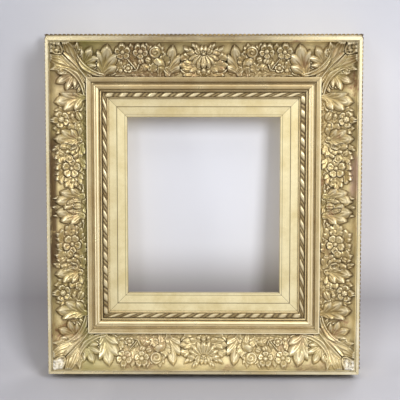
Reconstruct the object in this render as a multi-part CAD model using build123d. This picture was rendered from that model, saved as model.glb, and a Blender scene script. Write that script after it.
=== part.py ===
from build123d import *
import math
import os

# An ornate gilded picture frame, empty, as it hangs on a wall. Lengths are in millimetres.
# X runs across the frame, Z runs up and the front faces -Y. The wall plane is at Y = 0.
# On every side of the frame, "out" is the distance outward from the sight edge and
# "depth" is the distance in front of the wall plane.

# Sight opening, and the painting that the frame is made for
sight_width = 300.0
sight_height = 348.0
painting_thickness = 16.0
painting_lap = 5.0
painting_play = 1.0

# Inner slip, the flat border beside the painting
slip_recess = 4.0
inner_slip_face = 20.2
inner_slip_lip = 12.0
inner_slip_fall = 0.8
inner_slip_bevel = 1.2
inner_slip_tongue = 5.3
inner_slip_tongue_drop = 5.0

# Outer slip, the second flat border
slip_groove = 0.3
outer_slip_face = 16.0
outer_slip_rise = 1.0
outer_slip_chamfer = 0.8
outer_slip_lap = 5.0
slip_play = 0.5

# Inner moulding: rope channel, small bead, torus, hollow, step and fillet
lip_thickness = 4.0
lip_round = 1.0
channel_width = 13.4
bead_rise = 3.2
bead_radius = 1.6
quirk_width = 0.7
quirk_drop = 0.8
torus_rise = 3.1
torus_radius = 5.7
hollow_drop = 0.5
hollow_radius = 4.2
step_rise = 3.5
step_width = 3.2
fillet_rise = 1.5
fillet_width = 5.4

# Twisted rope strip in the channel
rope_width = 10.0
rope_height = 5.8
rope_inset = 2.2
rope_pitch = 27.0
rope_lead_share = 0.42
rope_groove_share = 0.5
rope_arch_shares = ((-1.0, 0.25), (-0.64, 1.0), (0.64, 1.0), (1.0, 0.25))

# Cove board, a wide hollow that rises towards the outer rail
cove_step = 10.1
cove_flat = 11.2
cove_sweep_radius = 80.0
cove_sweep_turn = 35.0
cove_rise_radius = 24.0
cove_land = 2.0

# Carcass, with keys let in across its outer corners
carcass_depth = 26.0
key_thickness = 3.0
key_length = 42.0
key_count = 2

# Edge board: round rail in front, scotia, and a plinth with a string of pearls
rail_width = 6.2
rail_rise = 0.9
rail_face = 12.0
scotia_hollow = 2.7
plinth_height = 24.0
plinth_flare = 5.4
pearl_radius = 4.0
pearl_height = 16.0

# Cast ornament on the cove. Its sizes and places are shares of the cove's width.
horizontal_spray_share = 0.532
vertical_spray_share = 0.543
sink_share = 0.06
seat_steps = 3

# Hangers on the back of the two stiles
hanger_drop_share = 0.36
strap_width = 14.0
strap_length = 40.0
strap_thickness = 1.2
ring_wire_radius = 1.4
ring_bend_radius = 11.0
ring_play = 0.1
knuckle_lift = 0.2
strap_chamfer = 4.0
roll_sides = 8
ring_sides = 8
ring_steps = 8
strap_screw_first = 18.0
strap_screw_pitch = 14.0

# Turn buttons behind the slips
button_out = 14.0
button_long = 18.0
button_short = 6.0
button_width = 10.0
button_thickness = 1.5
button_play = 0.3
button_corner_share = 0.55

# Round-headed wood screws and cut brads
screw_head_radius = 3.4
screw_head_height = 1.6
screw_crown_share = 0.7
screw_shank_radius = 1.5
screw_tip_radius = 0.4
screw_length = 11.0
screw_tip = 3.0
screw_sides = 8
screw_slot = 0.8
screw_play = 0.1
brad_side = 1.6
brad_length = 24.0
brad_lap = 7.0
brad_place_share = 0.55

# Margin by which cutting tools run past what they cut
overrun = 10.0

# Positions across a side, outward from the sight edge
rebate_out = painting_lap + painting_play
tongue_out = inner_slip_face + inner_slip_tongue
outer_slip_in = inner_slip_face + slip_groove
moulding_in = outer_slip_in + outer_slip_face
outer_slip_out = moulding_in + outer_slip_lap
carcass_in = outer_slip_out + slip_play
channel_out = moulding_in + channel_width
bead_out = channel_out + 2 * bead_radius
torus_in = bead_out + quirk_width
torus_out = torus_in + 2 * torus_radius
step_in = torus_out + hollow_radius
fillet_in = step_in + step_width
cove_in = fillet_in + fillet_width
sweep_in = cove_in + cove_flat
sweep_sine = math.sin(math.radians(cove_sweep_turn))
sweep_cosine = math.cos(math.radians(cove_sweep_turn))
rise_in = sweep_in + cove_sweep_radius * sweep_sine
rise_out = rise_in + cove_rise_radius * (1 - sweep_sine)
cove_out = rise_out + cove_land
cove_width = cove_out - cove_in
rail_out = cove_out + rail_width
plinth_out = rail_out + plinth_flare
half_width = sight_width / 2
half_height = sight_height / 2

# Positions in depth, forward from the wall plane
ledge_depth = slip_recess + painting_thickness
inner_slip_front = ledge_depth + inner_slip_lip
tongue_depth = inner_slip_front - inner_slip_tongue_drop
outer_slip_front = inner_slip_front + outer_slip_rise
channel_depth = outer_slip_front + lip_thickness
bead_centre = channel_depth + bead_rise
quirk_depth = bead_centre - quirk_drop
torus_centre = bead_centre + torus_rise
hollow_base = torus_centre - hollow_drop
step_base = hollow_base + hollow_radius
step_top = step_base + step_rise
fillet_top = step_top + fillet_rise
cove_floor = fillet_top - cove_step
sweep_centre = cove_floor + cove_sweep_radius
rise_start = sweep_centre - cove_sweep_radius * sweep_cosine
rise_centre = rise_start + cove_rise_radius * sweep_cosine
rail_radius = rail_width / 2
rail_centre = rise_centre + rail_rise

# Sizes of the hangers that follow from their wire
knuckle_radius = ring_wire_radius + ring_play + strap_thickness
ring_axis_lift = knuckle_radius + knuckle_lift


# Local frames: x runs along the side, y outward and z forward
def side_frame(side):
    """Give the local frame of one side, with its origin in the middle of the sight edge."""
    places = {
        "top": ((0, 0, half_height), (1, 0, 0)),
        "right": ((half_width, 0, 0), (0, 0, -1)),
        "bottom": ((0, 0, -half_height), (-1, 0, 0)),
        "left": ((-half_width, 0, 0), (0, 0, 1)),
    }
    origin, along = places[side]
    return Plane(origin=origin, x_dir=along, z_dir=(0, -1, 0))


def corner_frame():
    """Give the local frame of the upper right corner of the sight opening."""
    return Plane(origin=(half_width, 0, half_height), x_dir=(1, 0, 0), z_dir=(0, -1, 0))


def half_along(side):
    """Give half the sight edge's length on one side."""
    return half_width if side in ("top", "bottom") else half_height


def mitre_wedge(side, reach):
    """Make the block that a side may fill: it widens outward at 45 degrees at both ends."""
    near = half_along(side) - overrun
    far = half_along(side) + reach
    outline = Polyline((-near, -overrun), (near, -overrun), (far, reach), (-far, reach), close=True)
    block = extrude(make_face(outline), rail_centre + overrun)
    return block.move(Location((0, 0, -overrun)))


def moulding(side, outline):
    """Run a closed outline, drawn in out and depth, along one side and mitre both ends."""
    profile = Plane.YZ * make_face(outline)
    run = extrude(profile, half_along(side) + plinth_out + overrun, both=True)
    return run & mitre_wedge(side, plinth_out + overrun)


def polygon(*points):
    """Draw a closed outline with straight edges."""
    return Polyline(*points, close=True)


# Outlines of the mouldings, as (out, depth)
def inner_slip_outline():
    face_start = inner_slip_front - inner_slip_fall
    return polygon(
        (0, ledge_depth),
        (0, face_start - inner_slip_bevel),
        (inner_slip_bevel, face_start),
        (inner_slip_face, inner_slip_front),
        (inner_slip_face, tongue_depth),
        (tongue_out, tongue_depth),
        (tongue_out, slip_recess),
        (rebate_out, slip_recess),
        (rebate_out, ledge_depth),
    )


def outer_slip_outline():
    return polygon(
        (outer_slip_in, tongue_depth),
        (outer_slip_in, outer_slip_front - outer_slip_chamfer),
        (outer_slip_in + outer_slip_chamfer, outer_slip_front),
        (outer_slip_out, outer_slip_front),
        (outer_slip_out, slip_recess),
        (tongue_out + slip_groove, slip_recess),
        (tongue_out + slip_groove, tongue_depth),
    )


def inner_moulding_outline():
    bead = CenterArc((channel_out + bead_radius, bead_centre), bead_radius, 180, -180)
    torus = CenterArc((torus_in + torus_radius, torus_centre), torus_radius, 180, -180)
    hollow = CenterArc((torus_out, step_base), hollow_radius, -90, 90)
    start = Polyline(
        (moulding_in, outer_slip_front),
        (moulding_in, channel_depth - lip_round),
        (moulding_in + lip_round, channel_depth),
        (channel_out, channel_depth),
        bead @ 0,
    )
    end = Polyline(
        hollow @ 1,
        (step_in, step_top),
        (fillet_in, step_top),
        (fillet_in, fillet_top),
        (cove_in, fillet_top),
        (cove_in, carcass_depth),
        (carcass_in, carcass_depth),
        (carcass_in, outer_slip_front),
        start @ 0,
    )
    quirk = Polyline(bead @ 1, (bead_out, quirk_depth), (torus_in, quirk_depth), torus @ 0)
    return Curve() + [start, bead, quirk, torus, Line(torus @ 1, hollow @ 0), hollow, end]


def cove_outline():
    sweep = CenterArc((sweep_in, sweep_centre), cove_sweep_radius, -90, cove_sweep_turn)
    rise = CenterArc(
        (rise_out - cove_rise_radius, rise_centre),
        cove_rise_radius,
        cove_sweep_turn - 90,
        90 - cove_sweep_turn,
    )
    base = Polyline(
        rise @ 1,
        (cove_out, rise_centre),
        (cove_out, carcass_depth),
        (cove_in, carcass_depth),
        (cove_in, cove_floor),
        sweep @ 0,
    )
    return Curve() + [sweep, rise, base]


def edge_outline():
    rail = CenterArc((cove_out + rail_radius, rail_centre), rail_radius, 180, -180)
    scotia_top = rail_centre - rail_face
    scotia = ThreePointArc(
        (rail_out, scotia_top),
        (rail_out - scotia_hollow, (scotia_top + plinth_height) / 2),
        (plinth_out, plinth_height),
    )
    base = Polyline(scotia @ 1, (plinth_out, 0), (cove_out, 0), rail @ 0)
    return Curve() + [rail, Line(rail @ 1, scotia @ 0), scotia, base]


def pearl_outline():
    pearl = CenterArc((plinth_out, pearl_height), pearl_radius, 90, -180)
    return Curve() + [pearl, Line(pearl @ 1, pearl @ 0)]


def carcass_outline():
    return polygon(
        (carcass_in, 0), (cove_out, 0), (cove_out, carcass_depth), (carcass_in, carcass_depth)
    )


# Facetted solids, closed from rings of points
def facet(*points):
    return Face(Wire.make_polygon(points))


def facetted_solid(rings):
    """Join a stack of flat rings with equal counts of points into one closed solid."""
    faces = [facet(*rings[0]), facet(*rings[-1])]
    for low, high in zip(rings, rings[1:]):
        for i in range(len(low)):
            j = (i + 1) % len(low)
            faces.append(facet(low[i], low[j], high[j]))
            faces.append(facet(low[i], high[j], high[i]))
    solid = Solid(Shell(faces))
    return solid if solid.volume > 0 else Solid(Shell([-face for face in faces]))


def rope_strip(side):
    """Make the rope strip of one side: slanted strands, each a ridge between two grooves."""
    reach = moulding_in + rope_inset + rope_width / 2
    length = 2 * (half_along(side) + reach)
    strands = round(length / rope_pitch)
    pitch = length / strands
    lead = rope_lead_share * pitch
    spare = math.ceil(rope_lead_share) + 1
    rings = []
    for step in range(-strands - 2 * spare, strands + 2 * spare + 1):
        lift = rope_height * (rope_groove_share if step % 2 else 1.0)
        middle = step * pitch / 2
        ring = [Vector(middle - lead / 2, reach - rope_width / 2, channel_depth)]
        for across_share, lift_share in rope_arch_shares:
            along = middle + across_share * lead / 2
            out = reach + across_share * rope_width / 2
            ring.append(Vector(along, out, channel_depth + lift * lift_share))
        ring.append(Vector(middle + lead / 2, reach + rope_width / 2, channel_depth))
        rings.append(ring)
    return facetted_solid(rings) & mitre_wedge(side, plinth_out)


# Cast ornament. Places u, v are shares of the cove's width: v runs out from the fillet.
def cove_depth(out):
    """Give the depth of the cove's surface at a distance out from the sight edge."""
    if out <= sweep_in:
        return cove_floor
    if out <= rise_in:
        return sweep_centre - math.sqrt(cove_sweep_radius**2 - (out - sweep_in) ** 2)
    run = min(out - (rise_out - cove_rise_radius), cove_rise_radius)
    return rise_centre - math.sqrt(cove_rise_radius**2 - run**2)


class SideGround:
    """Place ornament on one side, around a point a distance along it from the middle."""

    def __init__(self, middle):
        self.middle = middle

    def point(self, u, v, lift):
        out = cove_in + v * cove_width
        return Vector(self.middle + u * cove_width, out, cove_depth(out) + lift * cove_width)


class CornerGround:
    """Place ornament across a mitre, with u and v out from the two fillets."""

    def point(self, u, v, lift):
        out = cove_in + max(u, v) * cove_width
        depth = cove_depth(out) + lift * cove_width
        return Vector(cove_in + u * cove_width, cove_in + v * cove_width, depth)


# Stations along a leaf, as shares of its length, width and height
long_leaf_shares = ((0.0, 0.45, 0.5), (0.4, 0.95, 0.95), (0.75, 0.8, 1.0), (1.0, 0.12, 0.55))
short_leaf_shares = ((0.0, 0.4, 0.5), (0.55, 1.0, 1.0), (1.0, 0.12, 0.5))
rib_share = 0.7
edge_share = 0.9

# Rings of a flower and of a bud, as shares of radius and height; the first is let in
flower_ring_shares = ((1.0, 0.0), (1.0, 0.55), (0.42, 0.45), (0.3, 1.0))
notch_share = 0.72
bud_ring_shares = ((1.0, 0.0), (1.0, 0.45), (0.5, 1.0))
bud_sides = 5


def leaf(ground, start, finish, width, height, bow, kind):
    """Make one leaf along a bowed line: broad with a sunken midrib, or a plain ridge."""
    length = math.dist(start, finish)
    run_u, run_v = (finish[0] - start[0]) / length, (finish[1] - start[1]) / length
    rings = []
    for along, wide, high in long_leaf_shares if kind == "long" else short_leaf_shares:
        shift = bow * 4 * along * (1 - along)
        u = start[0] + run_u * along * length - run_v * shift
        v = start[1] + run_v * along * length + run_u * shift
        side_u, side_v = -run_v * wide * width / 2, run_u * wide * width / 2
        crest = height * high
        ring = [
            ground.point(u - side_u, v - side_v, -sink_share),
            ground.point(u + side_u, v + side_v, -sink_share),
        ]
        if kind == "ridge":
            ring.append(ground.point(u, v, crest))
        else:
            edge_u, edge_v = side_u * edge_share, side_v * edge_share
            ring.append(ground.point(u + edge_u, v + edge_v, crest))
            ring.append(ground.point(u, v, crest * rib_share))
            ring.append(ground.point(u - edge_u, v - edge_v, crest))
        rings.append(ring)
    return facetted_solid(rings)


def rosette(ground, centre, radius, height, count, notch, ring_shares):
    """Stack rings around a centre into a flower, or into a bud where nothing is notched."""
    low = ground.point(centre[0], centre[1] - radius, 0).Z
    base = min(low, ground.point(*centre, 0).Z) - sink_share * cove_width
    rings = []
    for reach, lift in ring_shares:
        ring = []
        for i in range(count):
            pull = notch if i % 2 and reach == 1.0 else 1.0
            angle = 2 * math.pi * i / count
            u = centre[0] + radius * reach * pull * math.cos(angle)
            v = centre[1] + radius * reach * pull * math.sin(angle)
            ring.append(ground.point(u, v, lift * height))
        rings.append(ring)
    rings[0] = [Vector(spot.X, spot.Y, base) for spot in rings[0]]
    top = sum(spot.Z for spot in rings[-1]) / count
    rings[-1] = [Vector(spot.X, spot.Y, top) for spot in rings[-1]]
    return facetted_solid(rings)


def flower(ground, centre, radius, height, petals):
    """Make an open flower: a star of petals with a raised round heart."""
    return rosette(ground, centre, radius, height, 2 * petals, notch_share, flower_ring_shares)


def bud(ground, centre, radius, height):
    """Make a bud or a berry as a low dome."""
    return rosette(ground, centre, radius, height, bud_sides, 1.0, bud_ring_shares)


def casting(ground, leaves, flowers, buds, hand=1):
    """Make the solids of one casting from its tables; hand -1 turns it about v."""
    solids = []
    for (u0, v0), (u1, v1), width, height, bow, kind in leaves:
        start, finish = (hand * u0, v0), (hand * u1, v1)
        solids.append(leaf(ground, start, finish, width, height, hand * bow, kind))
    for (u, v), radius, height, petals in flowers:
        solids.append(flower(ground, (hand * u, v), radius, height, petals))
    for (u, v), radius, height in buds:
        solids.append(bud(ground, (hand * u, v), radius, height))
    return solids


def seat_block(side):
    """Make the block below the cove's surface, in flats that touch it along lines."""
    outs = [sweep_in + (rise_in - sweep_in) * i / seat_steps for i in range(seat_steps + 1)]
    for i in range(1, seat_steps):
        angle = math.radians(cove_sweep_turn + (90 - cove_sweep_turn) * i / seat_steps)
        outs.append(rise_out - cove_rise_radius * (1 - math.sin(angle)))
    spots = [(out, cove_depth(out)) for out in outs]
    deep = carcass_depth - overrun
    near, far = cove_in - overrun, cove_out + overrun
    rim = [(rise_out, rise_centre), (far, rise_centre), (far, deep)]
    outline = polygon((near, deep), (near, cove_floor), *spots, *rim)
    reach = half_along(side) + plinth_out + overrun
    return extrude(Plane.YZ * make_face(outline), reach, both=True)


# Corner leaf: a ribbed spine to a rosette, and curled lobes down both sides
corner_spine_shares = ((0.12, 0.12), (0.74, 0.74), 0.16, 0.15, 0.0, "long")
corner_lobe_shares = (
    ((0.24, 0.12), (0.68, 0.94), 0.30, 0.10, -0.10, "broad"),
    ((-0.20, 0.07), (0.34, 0.86), 0.15, 0.12, -0.16, "broad"),
    ((0.06, 0.24), (-0.16, 0.80), 0.26, 0.13, -0.03, "broad"),
    ((-0.02, 0.24), (-0.28, 0.55), 0.18, 0.11, -0.04, "ridge"),
    ((-0.08, 0.15), (-0.42, 0.24), 0.14, 0.08, -0.03, "ridge"),
)
corner_rosette_shares = ((0.79, 0.79), 0.17, 0.15, 5)


def corner_acanthus():
    ground = CornerGround()
    solids = [leaf(ground, *corner_spine_shares), flower(ground, *corner_rosette_shares)]
    for start, finish, width, height, bow, kind in corner_lobe_shares:
        solids.append(leaf(ground, start, finish, width, height, bow, kind))
        solids.append(leaf(ground, start[::-1], finish[::-1], width, height, -bow, kind))
    return Part() + solids


# Flower spray of the top and bottom sides
spray_leaf_shares = (
    ((1.06, 0.10), (0.78, 0.68), 0.24, 0.13, 0.05, "broad"),
    ((0.30, 0.20), (0.46, 0.60), 0.06, 0.09, 0.0, "ridge"),
    ((-0.49, 0.12), (-0.46, 0.50), 0.28, 0.13, 0.0, "broad"),
    ((-0.86, 0.17), (-0.70, 0.80), 0.24, 0.13, -0.05, "broad"),
    ((-0.86, 0.17), (-1.00, 0.82), 0.15, 0.12, 0.05, "ridge"),
    ((0.66, 0.08), (-0.50, 0.12), 0.07, 0.06, 0.03, "ridge"),
)
spray_flower_shares = (
    ((0.51, 0.72), 0.20, 0.12, 5),
    ((0.01, 0.72), 0.20, 0.12, 5),
    ((-0.39, 0.70), 0.14, 0.11, 5),
)
spray_bud_shares = (
    ((0.24, 0.46), 0.13, 0.10),
    ((-0.12, 0.47), 0.12, 0.10),
    ((0.36, 0.25), 0.13, 0.10),
    ((-0.10, 0.25), 0.14, 0.10),
)


def horizontal_spray(middle):
    ground = SideGround(middle)
    return Part() + casting(ground, spray_leaf_shares, spray_flower_shares, spray_bud_shares)


# Flower spray of the stiles; u runs away from the stile's middle
stile_leaf_shares = (
    ((1.08, 0.18), (0.93, 0.74), 0.22, 0.13, 0.05, "broad"),
    ((0.00, 0.26), (0.33, 0.50), 0.20, 0.12, 0.06, "ridge"),
    ((-0.10, 0.30), (-0.06, 0.82), 0.26, 0.14, 0.05, "broad"),
    ((-0.26, 0.40), (-0.28, 0.78), 0.18, 0.12, 0.0, "ridge"),
    ((-0.28, 0.16), (-0.62, 0.36), 0.16, 0.10, 0.05, "ridge"),
    ((-0.34, 0.70), (-0.62, 0.66), 0.18, 0.11, 0.04, "ridge"),
    ((-0.64, 0.74), (-0.98, 0.72), 0.16, 0.10, 0.04, "ridge"),
    ((-0.98, 0.72), (-1.28, 0.70), 0.16, 0.10, 0.04, "ridge"),
    ((-1.42, 0.18), (-1.10, 0.26), 0.18, 0.10, 0.05, "ridge"),
)
stile_flower_shares = (
    ((0.50, 0.72), 0.22, 0.13, 5),
    ((-0.92, 0.44), 0.23, 0.12, 5),
)
stile_bud_shares = (
    ((0.58, 0.24), 0.13, 0.10),
    ((0.30, 0.28), 0.10, 0.08),
    ((-1.34, 0.48), 0.13, 0.10),
    ((-0.58, 0.54), 0.10, 0.09),
)


def vertical_spray(middle, hand):
    ground = SideGround(middle)
    return Part() + casting(ground, stile_leaf_shares, stile_flower_shares, stile_bud_shares, hand)


# Centre of the top and bottom sides: a shell of petals over a bud, the same left and right
palmette_middle_shares = (
    ((0.0, 0.56), (0.0, 0.84), 0.28, 0.13, 0.0, "broad"),
    ((0.0, 0.60), (0.0, 0.26), 0.17, 0.13, 0.0, "ridge"),
)
palmette_side_shares = (
    ((0.0, 0.60), (0.17, 0.29), 0.17, 0.13, 0.0, "ridge"),
    ((0.0, 0.60), (0.29, 0.43), 0.17, 0.13, 0.0, "ridge"),
    ((0.08, 0.64), (0.50, 0.82), 0.16, 0.11, -0.06, "ridge"),
    ((0.20, 0.52), (0.64, 0.48), 0.16, 0.10, 0.03, "ridge"),
    ((0.10, 0.20), (0.60, 0.20), 0.16, 0.10, 0.05, "ridge"),
)
palmette_bud_shares = (((0.0, 0.62), 0.14, 0.16), ((0.0, 0.19), 0.14, 0.11))


def palmette():
    ground = SideGround(0)
    solids = casting(ground, palmette_middle_shares, (), palmette_bud_shares)
    for hand in (-1, 1):
        solids += casting(ground, palmette_side_shares, (), (), hand)
    return Part() + solids


# Centre of the stiles: curled leaves that part from a bud, the same up and down
centre_leaf_shares = (
    ((0.04, 0.24), (0.17, 0.84), 0.26, 0.14, -0.05, "broad"),
    ((0.10, 0.24), (0.32, 0.62), 0.16, 0.11, -0.04, "ridge"),
)
centre_bud_shares = (((0.0, 0.30), 0.13, 0.12),)


def centre_leaves():
    ground = SideGround(0)
    solids = casting(ground, (), (), centre_bud_shares)
    for hand in (-1, 1):
        solids += casting(ground, centre_leaf_shares, (), (), hand)
    return Part() + solids


# Hangers, turn buttons and fasteners
def prism_ring(radius, z, sides):
    """Give a flat ring of corners on a circle around the local z axis."""
    turns = [2 * math.pi * i / sides for i in range(sides)]
    return [Vector(radius * math.cos(turn), radius * math.sin(turn), z) for turn in turns]


def screw_body():
    """Make a round-headed screw without its slot, head up, seated at the local origin."""
    levels = (
        (screw_tip_radius, -screw_length),
        (screw_shank_radius, screw_tip - screw_length),
        (screw_shank_radius, 0),
        (screw_head_radius, 0),
        (screw_head_radius * screw_crown_share, screw_head_height),
    )
    return facetted_solid([prism_ring(radius, z, screw_sides) for radius, z in levels])


def screw():
    """Make one slotted round-headed screw."""
    slot = Box(3 * screw_head_radius, screw_slot, screw_slot)
    return screw_body() - slot.move(Location((0, 0, screw_head_height)))


def screw_hole():
    """Make the cutter for a screw's clear hole in thin metal."""
    return extrude(RegularPolygon(screw_shank_radius + screw_play, screw_sides), overrun, both=True)


def hanger_height():
    return half_height + cove_out - hanger_drop_share * (sight_height + 2 * cove_out)


def hanger_frame(side):
    """Give a hanger's frame: x to the right seen from behind, y up and z backward."""
    middle = half_width + (carcass_in + cove_out) / 2
    across = middle if side == "right" else -middle
    return Plane(origin=(across, 0, hanger_height()), x_dir=(-1, 0, 0), z_dir=(0, 1, 0))


def strap_screw_places():
    return [(0, -strap_screw_first), (0, -strap_screw_first - strap_screw_pitch)]


def hanger_strap():
    """Make the strap with its rolled knuckle and two screw holes."""
    plate = Box(strap_width, strap_length, strap_thickness, align=(Align.CENTER, Align.MAX, Align.MIN))
    plate = chamfer(plate.edges().filter_by(Axis.Z).group_by(Axis.Y)[0], strap_chamfer)
    neck_height = ring_axis_lift - ring_wire_radius
    neck = Box(strap_width, knuckle_radius, neck_height, align=(Align.CENTER, Align.MAX, Align.MIN))
    roll_end = Plane.YZ * RegularPolygon(knuckle_radius, roll_sides)
    roll = extrude(roll_end, strap_width / 2, both=True)
    bore = Cylinder(ring_wire_radius + ring_play, strap_width + overrun).rotate(Axis.Y, 90)
    lifted = Location((0, 0, ring_axis_lift))
    strap = plate + neck + roll.move(lifted) - bore.move(lifted)
    for x, y in strap_screw_places():
        strap -= screw_hole().move(Location((x, y, 0)))
    return strap


def hanger_ring():
    """Make the D ring, hanging down: a round bar, and a bow of wire drawn in flats."""
    bar = Cylinder(ring_wire_radius, 2 * (ring_bend_radius + ring_wire_radius)).rotate(Axis.Y, 90)
    wire = prism_ring(ring_wire_radius, 0, ring_sides)
    middles = [(wire[i] + wire[i - 1]) / 2 for i in range(ring_sides)]
    rings = []
    for step in range(ring_steps + 1):
        turn = math.pi * step / ring_steps
        ring = []
        for spot in middles:
            reach = ring_bend_radius + spot.X
            ring.append(Vector(reach * math.cos(turn), -reach * math.sin(turn), spot.Y))
        rings.append(ring)
    return (bar + facetted_solid(rings)).move(Location((0, 0, ring_axis_lift)))


def button_frame(side):
    """Give a turn button's frame at its pivot: x along the side, y outward, z backward."""
    frame = side_frame(side)
    origin = frame.from_local_coords(Vector(0, button_out, slip_recess))
    return Plane(origin=origin, x_dir=-frame.x_dir, z_dir=-frame.z_dir)


def turn_button():
    """Make a turn button: a long eight-cornered plate with an off-centre hole."""
    wide = button_width / 2
    cut = wide * button_corner_share
    left, right = -button_short, button_long
    outline = polygon(
        (left, wide - cut),
        (left, cut - wide),
        (left + cut, -wide),
        (right - cut, -wide),
        (right, cut - wide),
        (right, wide - cut),
        (right - cut, wide),
        (left + cut, wide),
    )
    plate = extrude(make_face(outline), button_thickness)
    plate -= screw_hole()
    return plate.move(Location((0, 0, button_play)))


def corner_key(level_depth):
    """Make one three-cornered key, let in across the outer corner of two rails."""
    far = cove_out
    outline = polygon((far, far), (far - key_length, far), (far, far - key_length))
    key = extrude(make_face(outline), key_thickness)
    return key.move(Location((0, 0, level_depth - key_thickness / 2)))


def corner_keys():
    """Make all the keys, at each of the four corners."""
    depths = [carcass_depth * (i + 1) / (key_count + 1) for i in range(key_count)]
    keys = [corner_frame().location * corner_key(depth) for depth in depths]
    keys += [key.mirror(Plane.YZ) for key in keys]
    return keys + [key.mirror(Plane.XY) for key in keys]


def brad_places(side):
    """Give the places along one side where brads hold the slips."""
    place = brad_place_share * half_along(side)
    return (-place, place)


def brads(side):
    """Make the square brads of one side, driven outward into the carcass behind the slips."""
    row = []
    for along in brad_places(side):
        brad = Box(brad_side, brad_length, brad_side, align=(Align.CENTER, Align.MIN, Align.MAX))
        row.append(brad.move(Location((along, carcass_in - brad_lap, slip_recess))))
    return row


# Assembly: every node's name with its solids in the frame's own place
nodes = {}
horizontals = ("top", "bottom")
verticals = ("right", "left")
outlines = {
    "carcass": carcass_outline,
    "edge_board": edge_outline,
    "cove_board": cove_outline,
    "inner_moulding": inner_moulding_outline,
    "pearl_string": pearl_outline,
    "outer_slip": outer_slip_outline,
    "inner_slip": inner_slip_outline,
}
for piece, outline in outlines.items():
    for pair in (horizontals, verticals):
        run = moulding(pair[0], outline())
        for side in pair:
            nodes[f"{piece}_{side}"] = side_frame(side).location * run
for pair in (horizontals, verticals):
    strip = rope_strip(pair[0])
    for side in pair:
        nodes[f"rope_{side}"] = side_frame(side).location * strip

# Ornament, seated on the cove and copied by reflection
spray_middle = horizontal_spray_share * (half_width + cove_in)
stile_spray_middle = vertical_spray_share * (half_height + cove_in)
seat_top = seat_block("top")
seat_side = seat_block("right")
top_place = side_frame("top").location
right_place = side_frame("right").location
corner_leaf = corner_frame().location * corner_acanthus()
corner_leaf = corner_leaf - top_place * seat_top - right_place * seat_side
spray = top_place * (horizontal_spray(spray_middle) - seat_top)
stile_spray = right_place * (vertical_spray(-stile_spray_middle, -1) - seat_side)
for side, across in (("right", 0), ("left", 1)):
    for level_name, up in (("top", 0), ("bottom", 1)):
        copies = {
            f"corner_acanthus_{level_name}_{side}": corner_leaf,
            f"spray_{level_name}_{side}": spray,
            f"stile_spray_{side}_{level_name}": stile_spray,
        }
        for name, solid in copies.items():
            placed = solid.mirror(Plane.YZ) if across else solid
            nodes[name] = placed.mirror(Plane.XY) if up else placed
shell = palmette() - seat_top
curled = centre_leaves() - seat_side
for side in horizontals:
    nodes[f"palmette_{side}"] = side_frame(side).location * shell
for side in verticals:
    nodes[f"centre_leaves_{side}"] = side_frame(side).location * curled

# Keys, hangers, turn buttons, screws and brads, with their holes
keys = corner_keys()
hanger_screws = []
for side in verticals:
    frame = hanger_frame(side)
    nodes[f"hanger_strap_{side}"] = frame.location * hanger_strap()
    nodes[f"hanger_ring_{side}"] = frame.location * hanger_ring()
    for x, y in strap_screw_places():
        place = frame.location * Location((x, y, strap_thickness))
        hanger_screws.append(place * screw())
        nodes[f"carcass_{side}"] -= place * screw_body()
button_screws = []
slip_brads = []
for side in horizontals + verticals:
    frame = button_frame(side)
    nodes[f"turn_button_{side}"] = frame.location * turn_button()
    place = frame.location * Location((0, 0, 2 * button_play + button_thickness))
    button_screws.append(place * screw())
    nodes[f"inner_slip_{side}"] -= place * screw_body()
    side_brads = [side_frame(side).location * brad for brad in brads(side)]
    slip_brads += side_brads
    for cutter in side_brads + keys:
        nodes[f"carcass_{side}"] -= cutter
nodes["corner_keys"] = Compound(children=keys)
nodes["hanger_screws"] = Compound(children=hanger_screws)
nodes["turn_button_screws"] = Compound(children=button_screws)
nodes["slip_brads"] = Compound(children=slip_brads)

# One file for each node
os.makedirs("parts", exist_ok=True)
for name, solid in nodes.items():
    export_step(solid, f"parts/{name}.step")
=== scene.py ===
import math

import bpy
import numpy as np
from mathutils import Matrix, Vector


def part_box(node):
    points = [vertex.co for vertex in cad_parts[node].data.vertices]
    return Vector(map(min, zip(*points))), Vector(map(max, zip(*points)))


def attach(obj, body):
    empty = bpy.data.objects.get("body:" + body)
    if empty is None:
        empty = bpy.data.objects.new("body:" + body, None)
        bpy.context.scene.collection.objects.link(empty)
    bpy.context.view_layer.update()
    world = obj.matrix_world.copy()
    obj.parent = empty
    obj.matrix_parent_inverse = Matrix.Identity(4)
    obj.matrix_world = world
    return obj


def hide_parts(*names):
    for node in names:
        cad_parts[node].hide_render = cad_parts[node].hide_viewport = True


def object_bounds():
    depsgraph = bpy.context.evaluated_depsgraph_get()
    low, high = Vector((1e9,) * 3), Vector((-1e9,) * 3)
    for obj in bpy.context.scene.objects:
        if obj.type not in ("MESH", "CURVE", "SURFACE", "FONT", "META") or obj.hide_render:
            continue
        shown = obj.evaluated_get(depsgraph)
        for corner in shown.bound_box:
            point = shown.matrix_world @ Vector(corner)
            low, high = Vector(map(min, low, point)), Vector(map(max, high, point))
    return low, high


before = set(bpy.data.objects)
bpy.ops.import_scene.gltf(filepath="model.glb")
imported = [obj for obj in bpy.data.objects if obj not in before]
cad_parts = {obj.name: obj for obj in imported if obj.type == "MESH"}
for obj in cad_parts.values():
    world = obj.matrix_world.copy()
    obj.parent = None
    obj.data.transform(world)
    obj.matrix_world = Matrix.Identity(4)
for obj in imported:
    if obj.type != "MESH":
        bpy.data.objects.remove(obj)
cad_low, cad_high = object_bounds()

# The frame is drawn in metres. X runs across it, Z runs up and the front faces -Y.
# On each side, "out" is the distance outward from the sight edge and "depth" the distance
# in front of the wall plane. Ornament is drawn in shares of the cove's width.
MM = 0.001

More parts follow.
